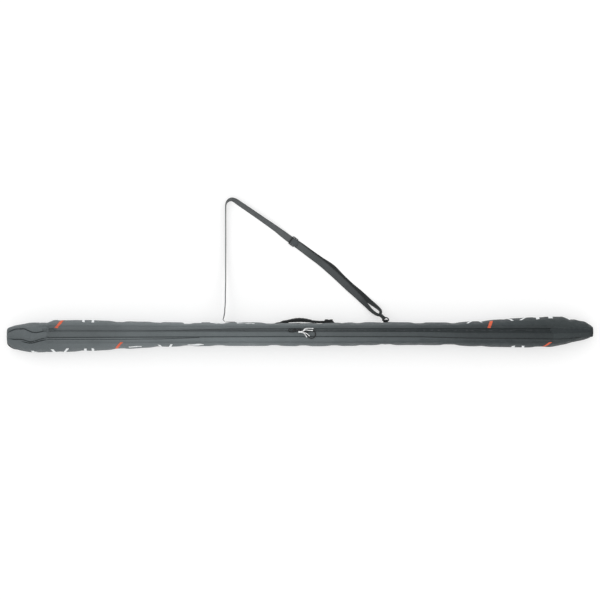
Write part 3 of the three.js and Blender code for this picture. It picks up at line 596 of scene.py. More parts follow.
HALF_LENGTH = 1.05
MOUTH_END = 0.905  # the zipped mouth runs from -MOUTH_END to MOUTH_END
SEAM_Y = 0.028  # the long seams that the mouth's two lips fold on
SEAM_Z = 0.109
CROWN = 0.008
WIDEST_Z = 0.056
HANDLE_SIDE_Y = 0.038  # where the handle is sewn on
BOTTOM_SHARE = 0.58
SQUARENESS = 2.3
END_SEAM_HALF = 0.012
END_SEAM_DROP = 0.027
END_BOTTOM_RISE = 0.014
END_MIDDLE = {-1: -0.002, 1: 0.0085}

# x, edge on the strap side, edge on the plain side, in millimetres
OUTLINE = np.array([
    (-1050, 21, -34), (-1043, 23, -42), (-1030, 26.5, -50.5), (-1003, 34, -59), (-960, 40.5, -65),
    (-908, 42.5, -65), (-880, 49, -64), (-786, 49, -61), (-643, 45, -54), (-500, 41.5, -46),
    (-400, 40.5, -43), (-285, 41.5, -42.5), (-180, 40.5, -41.5), (-97, 39, -42), (0, 38, -43),
    (60, 38.3, -43), (130, 39.5, -42.5), (200, 41, -41), (300, 41.5, -38.5), (430, 40.5, -38.5),
    (540, 40.5, -39.5), (646, 46.5, -44.5), (861, 60, -47), (908, 61.5, -44), (940, 61, -38.5),
    (968, 55, -32), (1011, 46.5, -21.5), (1024, 42.5, -18.5), (1043, 31, -12), (1050, 26, -10)]) * MM


def monotone(knots, values, at):
    """Monotone cubic interpolation, which never overshoots its knots."""
    slopes = np.diff(values) / np.diff(knots)
    inner = np.zeros(len(slopes) - 1)
    same = slopes[1:] * slopes[:-1] > 0
    inner[same] = 2 * slopes[1:][same] * slopes[:-1][same] / (slopes[1:] + slopes[:-1])[same]
    tangents = np.concatenate([slopes[:1], inner, slopes[-1:]])
    i = np.clip(np.searchsorted(knots, at, side="right") - 1, 0, len(slopes) - 1)
    width = knots[i + 1] - knots[i]
    t = (at - knots[i]) / width
    return (values[i] * (1 + 2 * t) * (1 - t) ** 2 + values[i + 1] * t**2 * (3 - 2 * t)
            + width * (tangents[i] * t * (1 - t) ** 2 - tangents[i + 1] * t**2 * (1 - t)))


def edge_at(x, side):
    return monotone(OUTLINE[:, 0], OUTLINE[:, 1 if side > 0 else 2], x)


def taper(x):
    return smoothstep(MOUTH_END, HALF_LENGTH, np.abs(x))


def seam_at(x, side):
    middle = END_MIDDLE[-1] if x < 0 else END_MIDDLE[1]
    return mix(side * SEAM_Y, middle + side * END_SEAM_HALF, taper(x))


def front_z(x, y):
    plus, minus = seam_at(x, 1), seam_at(x, -1)
    from_middle = (y - (plus + minus) / 2) / ((plus - minus) / 2)
    return SEAM_Z - END_SEAM_DROP * taper(x) + CROWN * (1 - 0.4 * taper(x)) * (1 - from_middle**2)


# Edges on the zipped face that wander a little along the bag: x and y in millimetres
STRAP_LIP_EDGE = np.array([(-905, 20.5), (-880, 20.5), (-866, 12.8), (-560, 12.8), (-250, 20), (0, 21.5),
                           (905, 21.5)]) * MM
WELT_EDGE = np.array([(-905, 8.4), (-880, 8.4), (-866, 10.3), (-400, 9.6), (0, 8.6), (430, 8), (600, 4.5),
                      (905, 3)]) * MM
WELT_SEAM = np.array([(-905, -12.5), (-360, -10), (0, -8.5), (430, -9.5), (600, -14.5), (905, -17.5)]) * MM

BOTTOM_STEPS = 8
SIDE_STEPS = 20
FACE_STEPS = 14
FACE_START = BOTTOM_STEPS + SIDE_STEPS
LIP_PLUS = FACE_START + 2
LIP_MINUS = FACE_START + 6
WELT = FACE_START + 10
FACE_END = FACE_START + FACE_STEPS
RING = BOTTOM_STEPS + 2 * SIDE_STEPS + FACE_STEPS
SEAM_COLUMNS = (0, BOTTOM_STEPS, FACE_START, FACE_END)
END_STATIONS = 30
MIDDLE_STATIONS = 130
CAP_SHARES = (0.88, 0.7, 0.45, 0.2)  # size of each ring that closes an end, next to the end's own


def face_ys(x):
    """The face's columns from the strap side's seam to the plain side's."""
    strap_lip = np.interp(x, STRAP_LIP_EDGE[:, 0], STRAP_LIP_EDGE[:, 1])
    lip = np.interp(x, WELT_EDGE[:, 0], WELT_EDGE[:, 1])
    welt = np.interp(x, WELT_SEAM[:, 0], WELT_SEAM[:, 1])
    ys = np.concatenate([
        np.linspace(SEAM_Y, strap_lip, 3)[:-1],
        np.linspace(strap_lip, lip, 5)[:-1],
        np.linspace(lip, welt, 5)[:-1],
        np.linspace(welt, -SEAM_Y, 5)])
    plus, minus = seam_at(x, 1), seam_at(x, -1)
    return (plus + minus) / 2 + ys * (plus - minus) / 2 / SEAM_Y


def side_points(x, side):
    """From the flat bottom, round the side and up to the long seam, as rows of y and z."""
    end = taper(x)
    edge = edge_at(x, side)
    plus, minus = edge_at(x, 1), edge_at(x, -1)
    middle, half = (plus + minus) / 2, (plus - minus) / 2
    widest = WIDEST_Z - 0.006 * end
    angles = np.linspace(0, math.pi / 2, SIDE_STEPS // 2 + 1)
    reach = np.cos(angles).clip(0) ** (2 / SQUARENESS)
    rise = np.sin(angles).clip(0) ** (2 / SQUARENESS)

    def quarter(inner, z):
        return np.stack([inner + (edge - inner) * reach, widest + (z - widest) * rise], axis=-1)

    low = quarter(middle + side * BOTTOM_SHARE * half, END_BOTTOM_RISE * end**2)
    high = quarter(seam_at(x, side), SEAM_Z - END_SEAM_DROP * end)
    return np.vstack([low[::-1], high[1:]])


def ring_at(x):
    plus_side, minus_side = side_points(x, 1), side_points(x, -1)[::-1]
    bottom = np.linspace(minus_side[-1], plus_side[0], BOTTOM_STEPS + 1)
    ys = face_ys(x)
    face = np.stack([ys, front_z(x, ys)], axis=-1)
    ring = np.vstack([bottom[:-1], plus_side[:-1], face[:-1], minus_side[:-1]])
    return np.column_stack([np.full(RING, x), ring])


def stations():
    ends = np.linspace(MOUTH_END, HALF_LENGTH, END_STATIONS + 1)
    middle = np.linspace(0, MOUTH_END, MIDDLE_STATIONS + 1)[:-1]
    half = np.concatenate([middle, ends])
    return np.concatenate([-half[:0:-1], half])


XS = stations()
FIRST_LIP = END_STATIONS
LAST_LIP = len(XS) - 1 - END_STATIONS
MIDDLE = len(XS) // 2

# ---------------------------------------------------------------- the shell as settled cloth

# Folds at the left end, where the zip's cloth bunches up: x and y in millimetres
END_FOLDS = {
    "fold_upper": [(-1046, 6), (-1026, 16), (-993, 19), (-977, 14), (-963, 8), (-944, 5.5), (-919, 10),
                   (-906, 11)],
    "fold_lower": [(-1045, -17), (-1023, -19), (-996, -19.5), (-977, -25.5), (-963, -27.5), (-949, -23.5),
                   (-930, -18), (-906, -12.5)],
    "fold_outer": [(-999, -26), (-979, -31), (-963, -32.5), (-930, -24.5), (-906, -19.3)],
    "fold_corner": [(-912, -26), (-930, -35), (-952, -45)],
    "fold_across": [(-967, 2), (-969, -8), (-967, -20)],
    "fold_strap_side": [(-1010, 27), (-985, 31), (-955, 33), (-930, 31)],
}
FOLD_WIDTH = 0.0065
FOLD_DEPTH = 0.0036
LARGEST_PUCKER = 0.0015
PUFF = 0.1  # share of the settled cloth's swelling that is kept
PUCKER_REACH = 6  # stations over which the swelling is averaged
SETTLING_FRAMES = 16


def distance_to_route(points, route):
    """The distance of each (x, y) from a line through the rows of route."""
    best = np.full(len(points), np.inf)
    for a, b in zip(route, route[1:]):
        along = np.clip(((points - a) @ (b - a)) / np.dot(b - a, b - a), 0, 1)
        best = np.minimum(best, np.linalg.norm(points - (a + along[:, None] * (b - a)), axis=1))
    return best


def pressed_folds(points):
    """How far the end folds press each point of the shell down."""
    flat = points[..., :2].reshape(-1, 2)
    depth = np.zeros(len(flat))
    for route in END_FOLDS.values():
        away = distance_to_route(flat, np.array(route) * MM)
        groove, ridge = np.exp(-(away / FOLD_WIDTH) ** 2), np.exp(-(away / FOLD_WIDTH - 2) ** 2)
        depth += FOLD_DEPTH * (groove - 0.2 * ridge)
    upper = points[..., 2].reshape(-1) > WIDEST_Z
    return np.where(upper, depth, 0).reshape(points.shape[:2])


def rest_shape():
    points = np.array([ring_at(x) for x in XS])
    normals = surface_normals(points)
    for column in (0, BOTTOM_STEPS, FACE_START, WELT):
        points[:, column] -= 1.1 * MM * normals[:, column]
    return points - pressed_folds(points)[..., None] * normals


def end_caps(points):
    """Rings that close each end, shrinking to its middle and bulging outwards a little."""
    caps = []
    for ring, side in ((points[0], -1), (points[-1], 1)):
        centre = ring.mean(axis=0)
        for share in CAP_SHARES:
            inner = centre + (ring - centre) * share
            inner[:, 0] += side * 3.5 * MM * (1 - share**2)
            caps.append(inner)
    return np.array(caps)


def shell_faces():
    """The closed shell's faces with their uv corners, and whether each is in the mouth."""
    count = len(XS)
    faces, corners = grid_faces(count, RING, closed=True)
    columns = np.tile(np.arange(RING), count - 1)
    rows = np.repeat(np.arange(count - 1), RING)
    on_face = (columns >= FACE_START) & (columns < FACE_END)
    mouth = (on_face & (rows >= FIRST_LIP) & (rows < LAST_LIP)).tolist()
    caps = len(CAP_SHARES)
    for first, base, outwards in ((0, count, True), (count - 1, count + caps, False)):
        rings = [first, *range(base, base + caps)]
        for near, far in zip(rings, rings[1:]):
            for k in range(RING):
                nxt = (k + 1) % RING
                quad = [near * RING + k, near * RING + nxt, far * RING + nxt, far * RING + k]
                uv_row = first * (RING + 1)
                place = [uv_row + k, uv_row + k + 1, uv_row + k + 1, uv_row + k]
                faces.append(tuple(quad[::-1] if outwards else quad))
                corners += place[::-1] if outwards else place
                mouth.append(False)
        last = [rings[-1] * RING + k for k in range(RING)]
        faces.append(tuple(last[::-1] if outwards else last))
        corners += [first * (RING + 1)] * RING
        mouth.append(False)
    return faces, corners, mouth


def settle(points, caps, faces):
    """Lets the padded cloth puff out and pucker between its seams, and gives its new points."""
    obj = new_object("settling", np.concatenate([points, caps]), faces, CLOTH)
    held = np.zeros((len(XS) + len(caps), RING))
    held[:, [*SEAM_COLUMNS, LIP_PLUS, LIP_MINUS, WELT]] = 1
    held[[0, len(XS) - 1]] = 1
    held[len(XS):] = 1
    held[FIRST_LIP:LAST_LIP + 1, LIP_PLUS:LIP_MINUS + 1] = 1
    group = obj.vertex_groups.new(name="sewn")
    group.add(np.flatnonzero(held.ravel() > 0).tolist(), 1.0, "REPLACE")
    modifier = obj.modifiers.new("settle", "CLOTH")
    cloth = modifier.settings
    cloth.quality = 5
    cloth.mass = 0.3
    cloth.tension_stiffness = cloth.compression_stiffness = 18
    cloth.shear_stiffness = 6
    cloth.bending_stiffness = 0.15
    cloth.shrink_min = -0.025
    cloth.use_pressure = True
    cloth.uniform_pressure_force = 0.9
    cloth.effector_weights.gravity = 0
    cloth.vertex_group_mass = group.name
    modifier.collision_settings.use_collision = False
    modifier.point_cache.frame_start = 1
    modifier.point_cache.frame_end = SETTLING_FRAMES
    for number in range(1, SETTLING_FRAMES + 1):
        bpy.context.scene.frame_set(number)
    settled = obj.evaluated_get(bpy.context.evaluated_depsgraph_get()).to_mesh()
    found = np.empty(len(settled.vertices) * 3)
    settled.vertices.foreach_get("co", found)
    found = found.reshape(-1, RING, 3)[:len(XS)]
    bpy.context.scene.frame_set(1)
    bpy.data.objects.remove(obj)
    return points + kept_move(points, found)


def kept_move(points, found):
    """The puckers of the settled cloth, and a share of its even swelling."""
    normals = surface_normals(points)
    away = np.sum((found - points) * normals, axis=-1)
    edged = np.pad(away, ((PUCKER_REACH, PUCKER_REACH), (0, 0)), mode="edge")
    sums = np.cumsum(np.vstack([np.zeros((1, RING)), edged]), axis=0)
    span = 2 * PUCKER_REACH + 1
    even = (sums[span:] - sums[:-span]) / span
    puckers = np.clip(away - even, -LARGEST_PUCKER, LARGEST_PUCKER)
    return (puckers + PUFF * even)[..., None] * normals


SHELL_FACES, SHELL_CORNERS, IN_MOUTH = shell_faces()
SHELL = rest_shape()
SHELL = settle(SHELL, end_caps(SHELL), SHELL_FACES)
SHELL[..., 2] = np.maximum(SHELL[..., 2], 0.4 * MM)
NORMALS = surface_normals(SHELL)
SHELL_UV = grid_of(XS, lengths_along(closed_up(SHELL[MIDDLE])))
SIDES = {"left": -1, "right": 1}
CLOTH_NODES = ("spine_panel", "side_panel_strap_side", "side_panel_plain_side", "end_sleeve_left",
               "end_sleeve_right", "zip_face_left_end", "zip_face_right_end", "end_wall_left",
               "end_wall_right", "end_liner_left", "end_liner_right")


def make_shell():
    """One sewn skin with the mouth left open, lined inside."""
    caps = end_caps(SHELL)
    faces, corners, at = [], [], 0
    for face, inside in zip(SHELL_FACES, IN_MOUTH):
        if not inside:
            faces.append(face)
            corners += SHELL_CORNERS[at:at + len(face)]
        at += len(face)
    vertices = np.concatenate([SHELL, caps]).reshape(-1, 3)
    used = np.zeros(len(vertices), bool)
    used[np.concatenate([np.array(face) for face in faces])] = True
    places = np.cumsum(used) - 1
    faces = [tuple(places[list(face)].tolist()) for face in faces]
    shell = new_object("bag_shell", vertices[used], faces, CLOTH, SHELL_UV.reshape(-1, 2)[corners])
    thicken(shell, 2.6 * MM, LINING)
    soften(shell)
    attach(shell, "bag")
    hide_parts(*CLOTH_NODES)


make_shell()

# ---------------------------------------------------------------- places on the shell


def column_of_y(x, y):
    """The ring column, with its fraction, of a point seen from above at (x, y)."""
    ring = SHELL[np.abs(XS - x).argmin()]
    first, last = BOTTOM_STEPS + SIDE_STEPS // 2, FACE_END + SIDE_STEPS // 2
    columns = np.arange(first, last + 1)
    return float(np.interp(-y, -ring[columns, 1], columns))


def column_of_z(x, z, side):
    """The ring column, with its fraction, at height z on one side."""
    ring = SHELL[np.abs(XS - x).argmin()]
    if side > 0:
        columns = np.arange(BOTTOM_STEPS, FACE_START + 1)
    else:
        columns = np.arange(FACE_END, RING)[::-1]
    return float(np.interp(z, ring[columns, 2], columns))


def on_shell(x, column, lift=0.0):
    """The point of the shell at x and a ring column, `lift` above it, and the normal there."""
    i = int(np.clip(np.searchsorted(XS, x) - 1, 0, len(XS) - 2))
    k = int(math.floor(column)) % RING
    s, t = (x - XS[i]) / (XS[i + 1] - XS[i]), column - math.floor(column)
    nxt = (k + 1) % RING

    def at(values):
        near, far = mix(values[i, k], values[i, nxt], t), mix(values[i + 1, k], values[i + 1, nxt], t)
        return mix(near, far, s)

    normal = unit(at(NORMALS))
    return at(SHELL) + lift * normal, normal


def top_route(route, step=0.004, lift=0.0):
    """Points and normals along a line drawn on the bag as seen from above."""
    route = np.asarray(route, float)
    along = lengths_along(route)
    places = np.linspace(0, along[-1], max(3, int(along[-1] / step)))
    xs, ys = np.interp(places, along, route[:, 0]), np.interp(places, along, route[:, 1])
    found = [on_shell(x, column_of_y(x, y), lift) for x, y in zip(xs, ys)]
    return np.array([p for p, _ in found]), np.array([n for _, n in found])


def column_route(column, first, last, lift=0.0):
    """Points and normals along one column of the ring, between two stations."""
    rows = slice(first, last + 1)
    low = int(math.floor(column))
    share = column - low
    points = mix(SHELL[rows, low % RING], SHELL[rows, (low + 1) % RING], share)
    normals = unit(mix(NORMALS[rows, low % RING], NORMALS[rows, (low + 1) % RING], share))
    return points + lift * normals, normals


# ---------------------------------------------------------------- seams and stitches


def rib(name, points, normals, width, height, material):
    """A rounded fold of cloth that lies along points. Its width is one number, or one for each point."""
    tangents = unit(np.gradient(points, axis=0))
    across = unit(np.cross(normals, tangents))
    angles = np.linspace(0, math.pi, 7)
    half = np.broadcast_to(width, len(points))[:, None, None] / 2
    rows = (points[:, None]
            + across[:, None] * half * np.cos(angles)[None, :, None]
            + normals[:, None] * ((np.sin(angles) - 0.35) * height)[None, :, None])
    return grid_object(name, rows[:, ::-1], even_uv(rows), material)


def stitches(name, points, normals, material, pitch=4.2 * MM, length=3.1 * MM, width=0.9 * MM):
    """A row of stitches: each a short arch of thread that dips into the cloth at both ends. normals
    is one direction, or one for each point."""
    normals = np.broadcast_to(normals, points.shape)
    along = lengths_along(points)
    starts = np.arange(pitch / 2, along[-1] - length, pitch)
    places = starts[:, None] + np.linspace(0, length, 4)[None]

    def at(values):
        return np.stack([np.interp(places, along, values[:, axis]) for axis in range(3)], axis=-1)

    centre, up = at(points), unit(at(normals))
    ahead = unit(np.broadcast_to((centre[:, -1] - centre[:, 0])[:, None], centre.shape))
    across = unit(np.cross(up, ahead))
    arch = np.array([-0.25, 0.55, 0.55, -0.25]) * width
    half = np.array([0.3, 0.5, 0.5, 0.3]) * width
    ridge = centre + up * arch[None, :, None]
    rows = np.stack([centre - across * half[None, :, None] - up * 0.2 * width, ridge,
                     centre + across * half[None, :, None] - up * 0.2 * width], axis=2)
    return many_grids(name, rows, material)


def fold_with_lip(piece):
    """Bakes the placement of a piece on one half of a lip into its mesh."""
    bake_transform(piece)


HALVES = {"left": (-1, FIRST_LIP, MIDDLE), "right": (1, MIDDLE, LAST_LIP)}


def make_shell_seams():
    last = len(XS) - 1
    spans = (("bottom_plain_side", 0, -0.7, 1, last - 1),
             ("bottom_strap_side", BOTTOM_STEPS, 0.7, 1, last - 1),
             ("top_strap_side", FACE_START, -0.7, FIRST_LIP - 6, LAST_LIP + 14),
             ("top_plain_side", FACE_END, 0.7, FIRST_LIP - 1, LAST_LIP + 1))
    for label, column, away, first, final in spans:
        points, normals = column_route(column, first, final, 0.5 * MM)
        seam = rib(f"seam_{label}", points, normals, 2.2 * MM, 1.0 * MM, SOFT_SEAM)
        points, normals = column_route(column + away, first, final, 0.25 * MM)
        row = stitches(f"stitches_{label}", points, normals, THREAD)
        for piece in (seam, row):
            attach(piece, "bag")


def make_end_folds():
    for name in ("fold_upper", "fold_lower", "fold_outer"):
        points, normals = top_route(smooth_route(np.array(END_FOLDS[name]) * MM, 5), lift=0.7 * MM)
        widths = 4.0 * MM * np.clip(2.2 * np.sin(np.linspace(0.08, math.pi - 0.08, len(points))), 0.15, 1)
        # Each crease is a rib painted dark with the shade in the fold.
        crease = rib(f"end_{name}", points, normals, widths, 1.0 * MM, SEAM_SHADE)
        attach(crease, "bag")


make_shell_seams()
make_end_folds()

# ---------------------------------------------------------------- the mouth's lips and zip

ZIP_Y = 0.014
COIL_TOP = 0.1142
COIL_END = 0.902
TAPE_DEPTH = 3.3 * MM
TOOTH_PITCH = 2.4 * MM
TUCK = 2  # stations by which the lips reach under the end faces


def lip_lifts(label, columns, lift):
    """How far each column of a lip stands off the shell. The column past its seam is tucked under."""
    lifts = np.full(columns, lift)
    if label == "lip_strap_side":
        lifts[0], lifts[-1] = -1.2, 0
    elif label == "lip_plain_side":
        lifts[0], lifts[-1] = 0, -1.2
    else:
        lifts[-1] = 0
    return lifts * MM


def make_lips():
    panels = (
        ("lip_strap_side", FACE_START - 1, LIP_PLUS, "lip_strap_side", "lip_panel_strap_side", CLOTH_BAND,
         0.5, 1.2),
        ("zip_welt", LIP_MINUS, WELT, "lip_plain_side", "zip_welt", CLOTH_BAND, 0.4, 2.2),
        ("lip_plain_side", WELT, FACE_END + 1, "lip_plain_side", "lip_panel_plain_side", CLOTH, 0.2, 2.4),
    )
    for half, (side, first, last) in HALVES.items():
        rows = slice(first - TUCK, last + 1) if side < 0 else slice(first - 1, last + TUCK + 1)
        xs = XS[rows]
        near_end = np.abs(xs) > MOUTH_END - 8 * MM
        past_end = np.abs(xs) > MOUTH_END + 0.1 * MM
        past_middle = side * xs < -0.1 * MM
        under = 0.6 * MM * near_end + 0.4 * MM * past_end + 0.6 * MM * past_middle
        for label, low, high, body, node, material, lift, thickness in panels:
            columns = slice(low, high + 1)
            raised = lip_lifts(label, high - low + 1, lift)[None, :, None] - under[:, None, None]
            points = SHELL[rows, columns] + NORMALS[rows, columns] * raised
            panel = grid_object(f"{label}_{half}", points, SHELL_UV[rows, columns], material)
            thicken(panel, thickness * MM, LINING, crease=0.8)
            soften(panel)
            fold_with_lip(panel)
            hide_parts(node)


# A second, fainter line beside the welt's seam: x and y in millimetres
SECOND_LINES = {"left": [(-904, -19), (-700, -18.8), (-500, -17.2), (-360, -12.5)],
                "right": [(430, -20), (620, -23.5), (760, -24)]}


def make_lip_stitches():
    rows = (
        ("strap_lip_edge", LIP_PLUS - 0.7, "lip_strap_side", 0.7),
        ("welt_edge", LIP_MINUS + 0.6, "lip_plain_side", 0.7),
        ("welt_seam", WELT + 0.45, "lip_plain_side", 0.55),
    )
    for half, (side, first, last) in HALVES.items():
        for label, column, body, lift in rows:
            points, normals = column_route(column, first, last, lift * MM)
            row = stitches(f"stitches_{label}_{half}", points, normals, THREAD)
            fold_with_lip(row)
        points, normals = column_route(WELT, first, last, 0.6 * MM)
        # The welt's seam and the line beside it are ribs of painted seam shade, fainter on the right.
        welt_seam = rib(f"seam_welt_{half}", points, normals, 2.4 * MM, 1.1 * MM, SEAM_SHADE)
        points, normals = top_route(np.array(SECOND_LINES[half]) * MM, 8 * MM, 0.5 * MM)
        second = rib(f"seam_welt_second_{half}", points, normals, 2.2 * MM, 1.0 * MM,
                     SEAM_SHADE if side < 0 else SOFT_SEAM)
        for seam in (welt_seam, second):
            fold_with_lip(seam)


def tape_points(xs, ys):
    points = [[(x, y, front_z(x, y) - TAPE_DEPTH) for y in ys] for x in xs]
    return np.array(points)


def make_tapes():
    spans = {"strap_side": np.linspace(25.0, 15.0, 7) * MM, "plain_side": np.linspace(13.0, 1.5, 8) * MM}
    for half, (side, first, last) in HALVES.items():
        xs = np.clip(XS[first:last + 1], -COIL_END, COIL_END)
        for label, ys in spans.items():
            points = tape_points(xs, ys)
            points[..., 2] += 0.25 * MM * np.sin(xs * 2 * math.pi / 0.031)[:, None]
            tape = grid_object(f"zip_tape_{label}_{half}", points, even_uv(points), TAPE)
            thicken(tape, 0.8 * MM)
            soften(tape)
            fold_with_lip(tape)
            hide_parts(f"zip_tape_{label}")


# One coil turn from its root on the tape to its head: how far from the root, height, half length
TURN = [(0.0, -1.0, 0.50), (0.15, -0.1, 0.55), (0.9, 0.0, 0.60), (2.6, 0.0, 0.62), (3.5, -0.25, 0.85),
        (3.75, -1.1, 0.80), (3.4, -1.9, 0.55)]


def coil_turns(xs, side):
    """Loops of coil that reach over the middle of the zip, shaped like the turns of a spring."""
    turn = np.array(TURN) * MM
    root = ZIP_Y + side * 3.1 * MM
    centre = np.stack([np.zeros(len(turn)), root - side * turn[:, 0], COIL_TOP + turn[:, 1]], axis=-1)
    up = unit(np.cross(np.gradient(centre, axis=0), (side, 0, 0)))
    half = turn[:, 2]
    sections = []
    for across, lift in ((-1, -0.3), (-0.6, 0.35), (0.6, 0.35), (1, -0.3)):
        shifted = centre + up * lift * MM
        shifted[:, 0] += across * half * side
        sections.append(shifted)
    one = np.stack(sections, axis=1)
    return np.array(xs)[:, None, None, None] * np.array([1, 0, 0]) + one[None]


def make_coils():
    for half, (side, _, _) in HALVES.items():
        for label, row in (("strap_side", 1), ("plain_side", -1)):
            offset = TOOTH_PITCH * (0.5 + 0.25 * row)
            xs = side * (np.arange(0, COIL_END - TOOTH_PITCH, TOOTH_PITCH) + offset)
            coil = many_grids(f"zip_coil_{label}_{half}", coil_turns(xs, row), COIL)
            fold_with_lip(coil)
            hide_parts(f"zip_coil_{label}")


def face_strip(name, xs, lows, highs, lift, material, thickness):
    """A strip of cloth lying on the top of the bag between two lines that run along it."""
    rows = []
    for x, low, high in zip(xs, lows, highs):
        ys = np.linspace(high, low, 7)
        rows.append([on_shell(x, column_of_y(x, y), lift)[0] for y in ys])
    points = np.array(rows)
    strip = grid_object(name, points, even_uv(points), material)
    thicken(strip, thickness)
    soften(strip)
    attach(strip, "bag")
    return strip


def make_zip_stops():
    """A folded tab of cloth over each end of the zip, with two bars of stitches."""
    for label, side in SIDES.items():
        xs = side * np.linspace(899, 923, 9)[::side] * MM
        ends = 0.8 * MM * np.abs(np.linspace(-1, 1, len(xs))) ** 6
        low = np.interp(side * MOUTH_END, WELT_EDGE[:, 0], WELT_EDGE[:, 1]) - 2 * MM
        high = STRAP_LIP_EDGE[0, 1] + 2 * MM
        cloth = CLOTH_BAND if side < 0 else TAPE
        tab = face_strip(f"zip_stop_{label}", xs, low + ends, high - ends, 0.3 * MM, cloth, 0.7 * MM)
        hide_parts(f"zip_end_tab_{label}")
        for number, x in enumerate((907.5, 919)):
            points, normals = top_route(np.array([(side * x, 19), (side * x, 8)]) * MM, 2 * MM, 0.7 * MM)
            bar = stitches(f"zip_stop_stitches_{label}_{number + 1}", points, normals, DARK_THREAD,
                           pitch=1.7 * MM, length=1.4 * MM)
            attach(bar, "bag")


def make_right_end_bands():
    """The zip's tape and the welt's seam run on over the right end, sewn down."""
    xs = np.linspace(0.9235, 1.046, 26)
    inwards = smoothstep(0.98, 1.05, xs)
    lows, highs = (3 + 3 * inwards) * MM, (20.5 - 4.5 * inwards) * MM
    tape = face_strip("end_tape_right", xs, lows, highs, 0.5 * MM, TAPE, 0.5 * MM)
    points, normals = top_route(np.array([(906, -17.5), (960, -17), (1005, -11)]) * MM, lift=0.4 * MM)
    # The seam is a rib painted dark with the seam's shade.
    seam = rib("end_seam_right", points, normals, 2.2 * MM, 1.0 * MM, SEAM_SHADE)
    points, normals = top_route(np.array([(906, 23), (980, 22), (1040, 18.5)]) * MM, lift=0.4 * MM)
    row = stitches("end_stitches_right", points, normals, DARK_THREAD)
    for piece in (tape, seam, row):
        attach(piece, "bag")


make_lips()
make_lip_stitches()
make_tapes()
make_coils()
make_zip_stops()
make_right_end_bands()

# ---------------------------------------------------------------- prints, binding and piping

# Plain bars printed on each side: x at the top, how far in from the edge they start as seen from
# above, height of their other end, width, and how far they slant along the bag, in millimetres
WHITE_BARS = {
    1: [(-905, 3, 62, 11, -34), (-776, 7, 60, 9, 0), (-742, 7, 60, 9, 0), (-385, 1, 94, 64, 0),
        (-290, 1, 94, 64, 0), (-195, 1, 94, 64, 0), (600, 5, 62, 9, 18), (652, 5, 62, 9, -18),
        (762, 7, 60, 9, -22), (790, 7, 60, 9, 22), (852, 7, 60, 12, 0), (898, 5, 60, 16, 0),
        (965, 4, 58, 9, 0)],
    -1: [(-960, 5, 60, 11, 14), (-888, 10, 60, 10, 14), (-832, 11, 60, 10, -14), (-769, 9, 60, 9, 0),
         (-742, 9, 60, 9, 0), (-590, 8, 94, 46, 0), (-505, 9, 60, 9, 10), (-460, 9, 60, 9, -10),
         (-374, 7, 94, 58, 0), (764, 5, 60, 12, 0), (799, 5, 60, 9, 0)],
}


def patch(rows):
    """A printed patch over rows of (x, ring column), just clear of the cloth: points and uv. On the
    shell the ring's columns are about 4 mm apart."""
    points = np.array([[on_shell(x, column, 0.45 * MM)[0] for x, column in row] for row in rows])
    uv = np.array([[(x, column * 4 * MM) for x, column in row] for row in rows])
    normal = np.cross(points[1, 0] - points[0, 0], points[0, 1] - points[0, 0])
    outward = on_shell(*rows[0][0])[1]
    if np.dot(normal, outward) > 0:
        points, uv = points[:, ::-1], uv[:, ::-1]
    return points, uv


def printed(name, patches, material):
    """One object of several printed patches."""
    vertices, faces, uvs, base = [], [], [], 0
    for points, uv in patches:
        some, corners = grid_faces(*points.shape[:2])
        faces += [tuple(base + v for v in face) for face in some]
        vertices.append(points.reshape(-1, 3))
        uvs.append(uv.reshape(-1, 2)[corners])
        base += points.shape[0] * points.shape[1]
    return new_object(name, np.concatenate(vertices), faces, material, np.concatenate(uvs))


def bar_rows(x, inset, bottom, width, slant, side):
    low = column_of_z(x * MM, bottom * MM, side)
    high = column_of_y(x * MM, edge_at(x * MM, side) - side * inset * MM)
    across = np.linspace(-0.5, 0.5, max(3, int(width / 4) + 1))
    rows = []
    for share in np.linspace(0, 1, 14):
        centre = x + slant * share
        rows.append([((centre + width * a) * MM, mix(high, low, share)) for a in across])
    return rows


def make_white_prints():
    for side, label in ((1, "strap_side"), (-1, "plain_side")):
        patches = [patch(bar_rows(*bar, side)) for bar in WHITE_BARS[side]]
        ink = printed(f"print_bars_{label}", patches, WHITE_INK)
        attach(ink, "bag")


# Orange dashes as seen from above: (x, y) where each starts at the edge and where it ends, in millimetres
DASHES = [((-850, 50), (-867.7, 28.6)), ((-659, -52), (-638, -28.6)), ((686, 47), (678.5, 28.6)),
          ((872, -45.5), (898, -28.6))]
LIP_DASHES = {"left": ((-868.5, 27.4), (-873.5, 21.3)), "right": ((678, 27.4), (676, 22))}
DASH_WIDTH = 11.0


def dash_rows(start, end):
    rows = []
    for share in np.linspace(0, 1, 10):
        x, y = mix(start[0], end[0], share), mix(start[1], end[1], share)
        column = column_of_y(x * MM, y * MM)
        rows.append([((x + DASH_WIDTH * a) * MM, column) for a in np.linspace(-0.5, 0.5, 4)])
    return rows


def make_dashes():
    patches = [patch(dash_rows(*ends)) for ends in DASHES]
    dashes = printed("print_dashes", patches, ORANGE_INK)
    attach(dashes, "bag")
    for half, (side, _, _) in HALVES.items():
        points, uv = patch(dash_rows(*LIP_DASHES[half]))
        points[..., 2] += 0.7 * MM
        dash = printed(f"print_lip_dash_{half}", [(points, uv)], ORANGE_INK)
        fold_with_lip(dash)


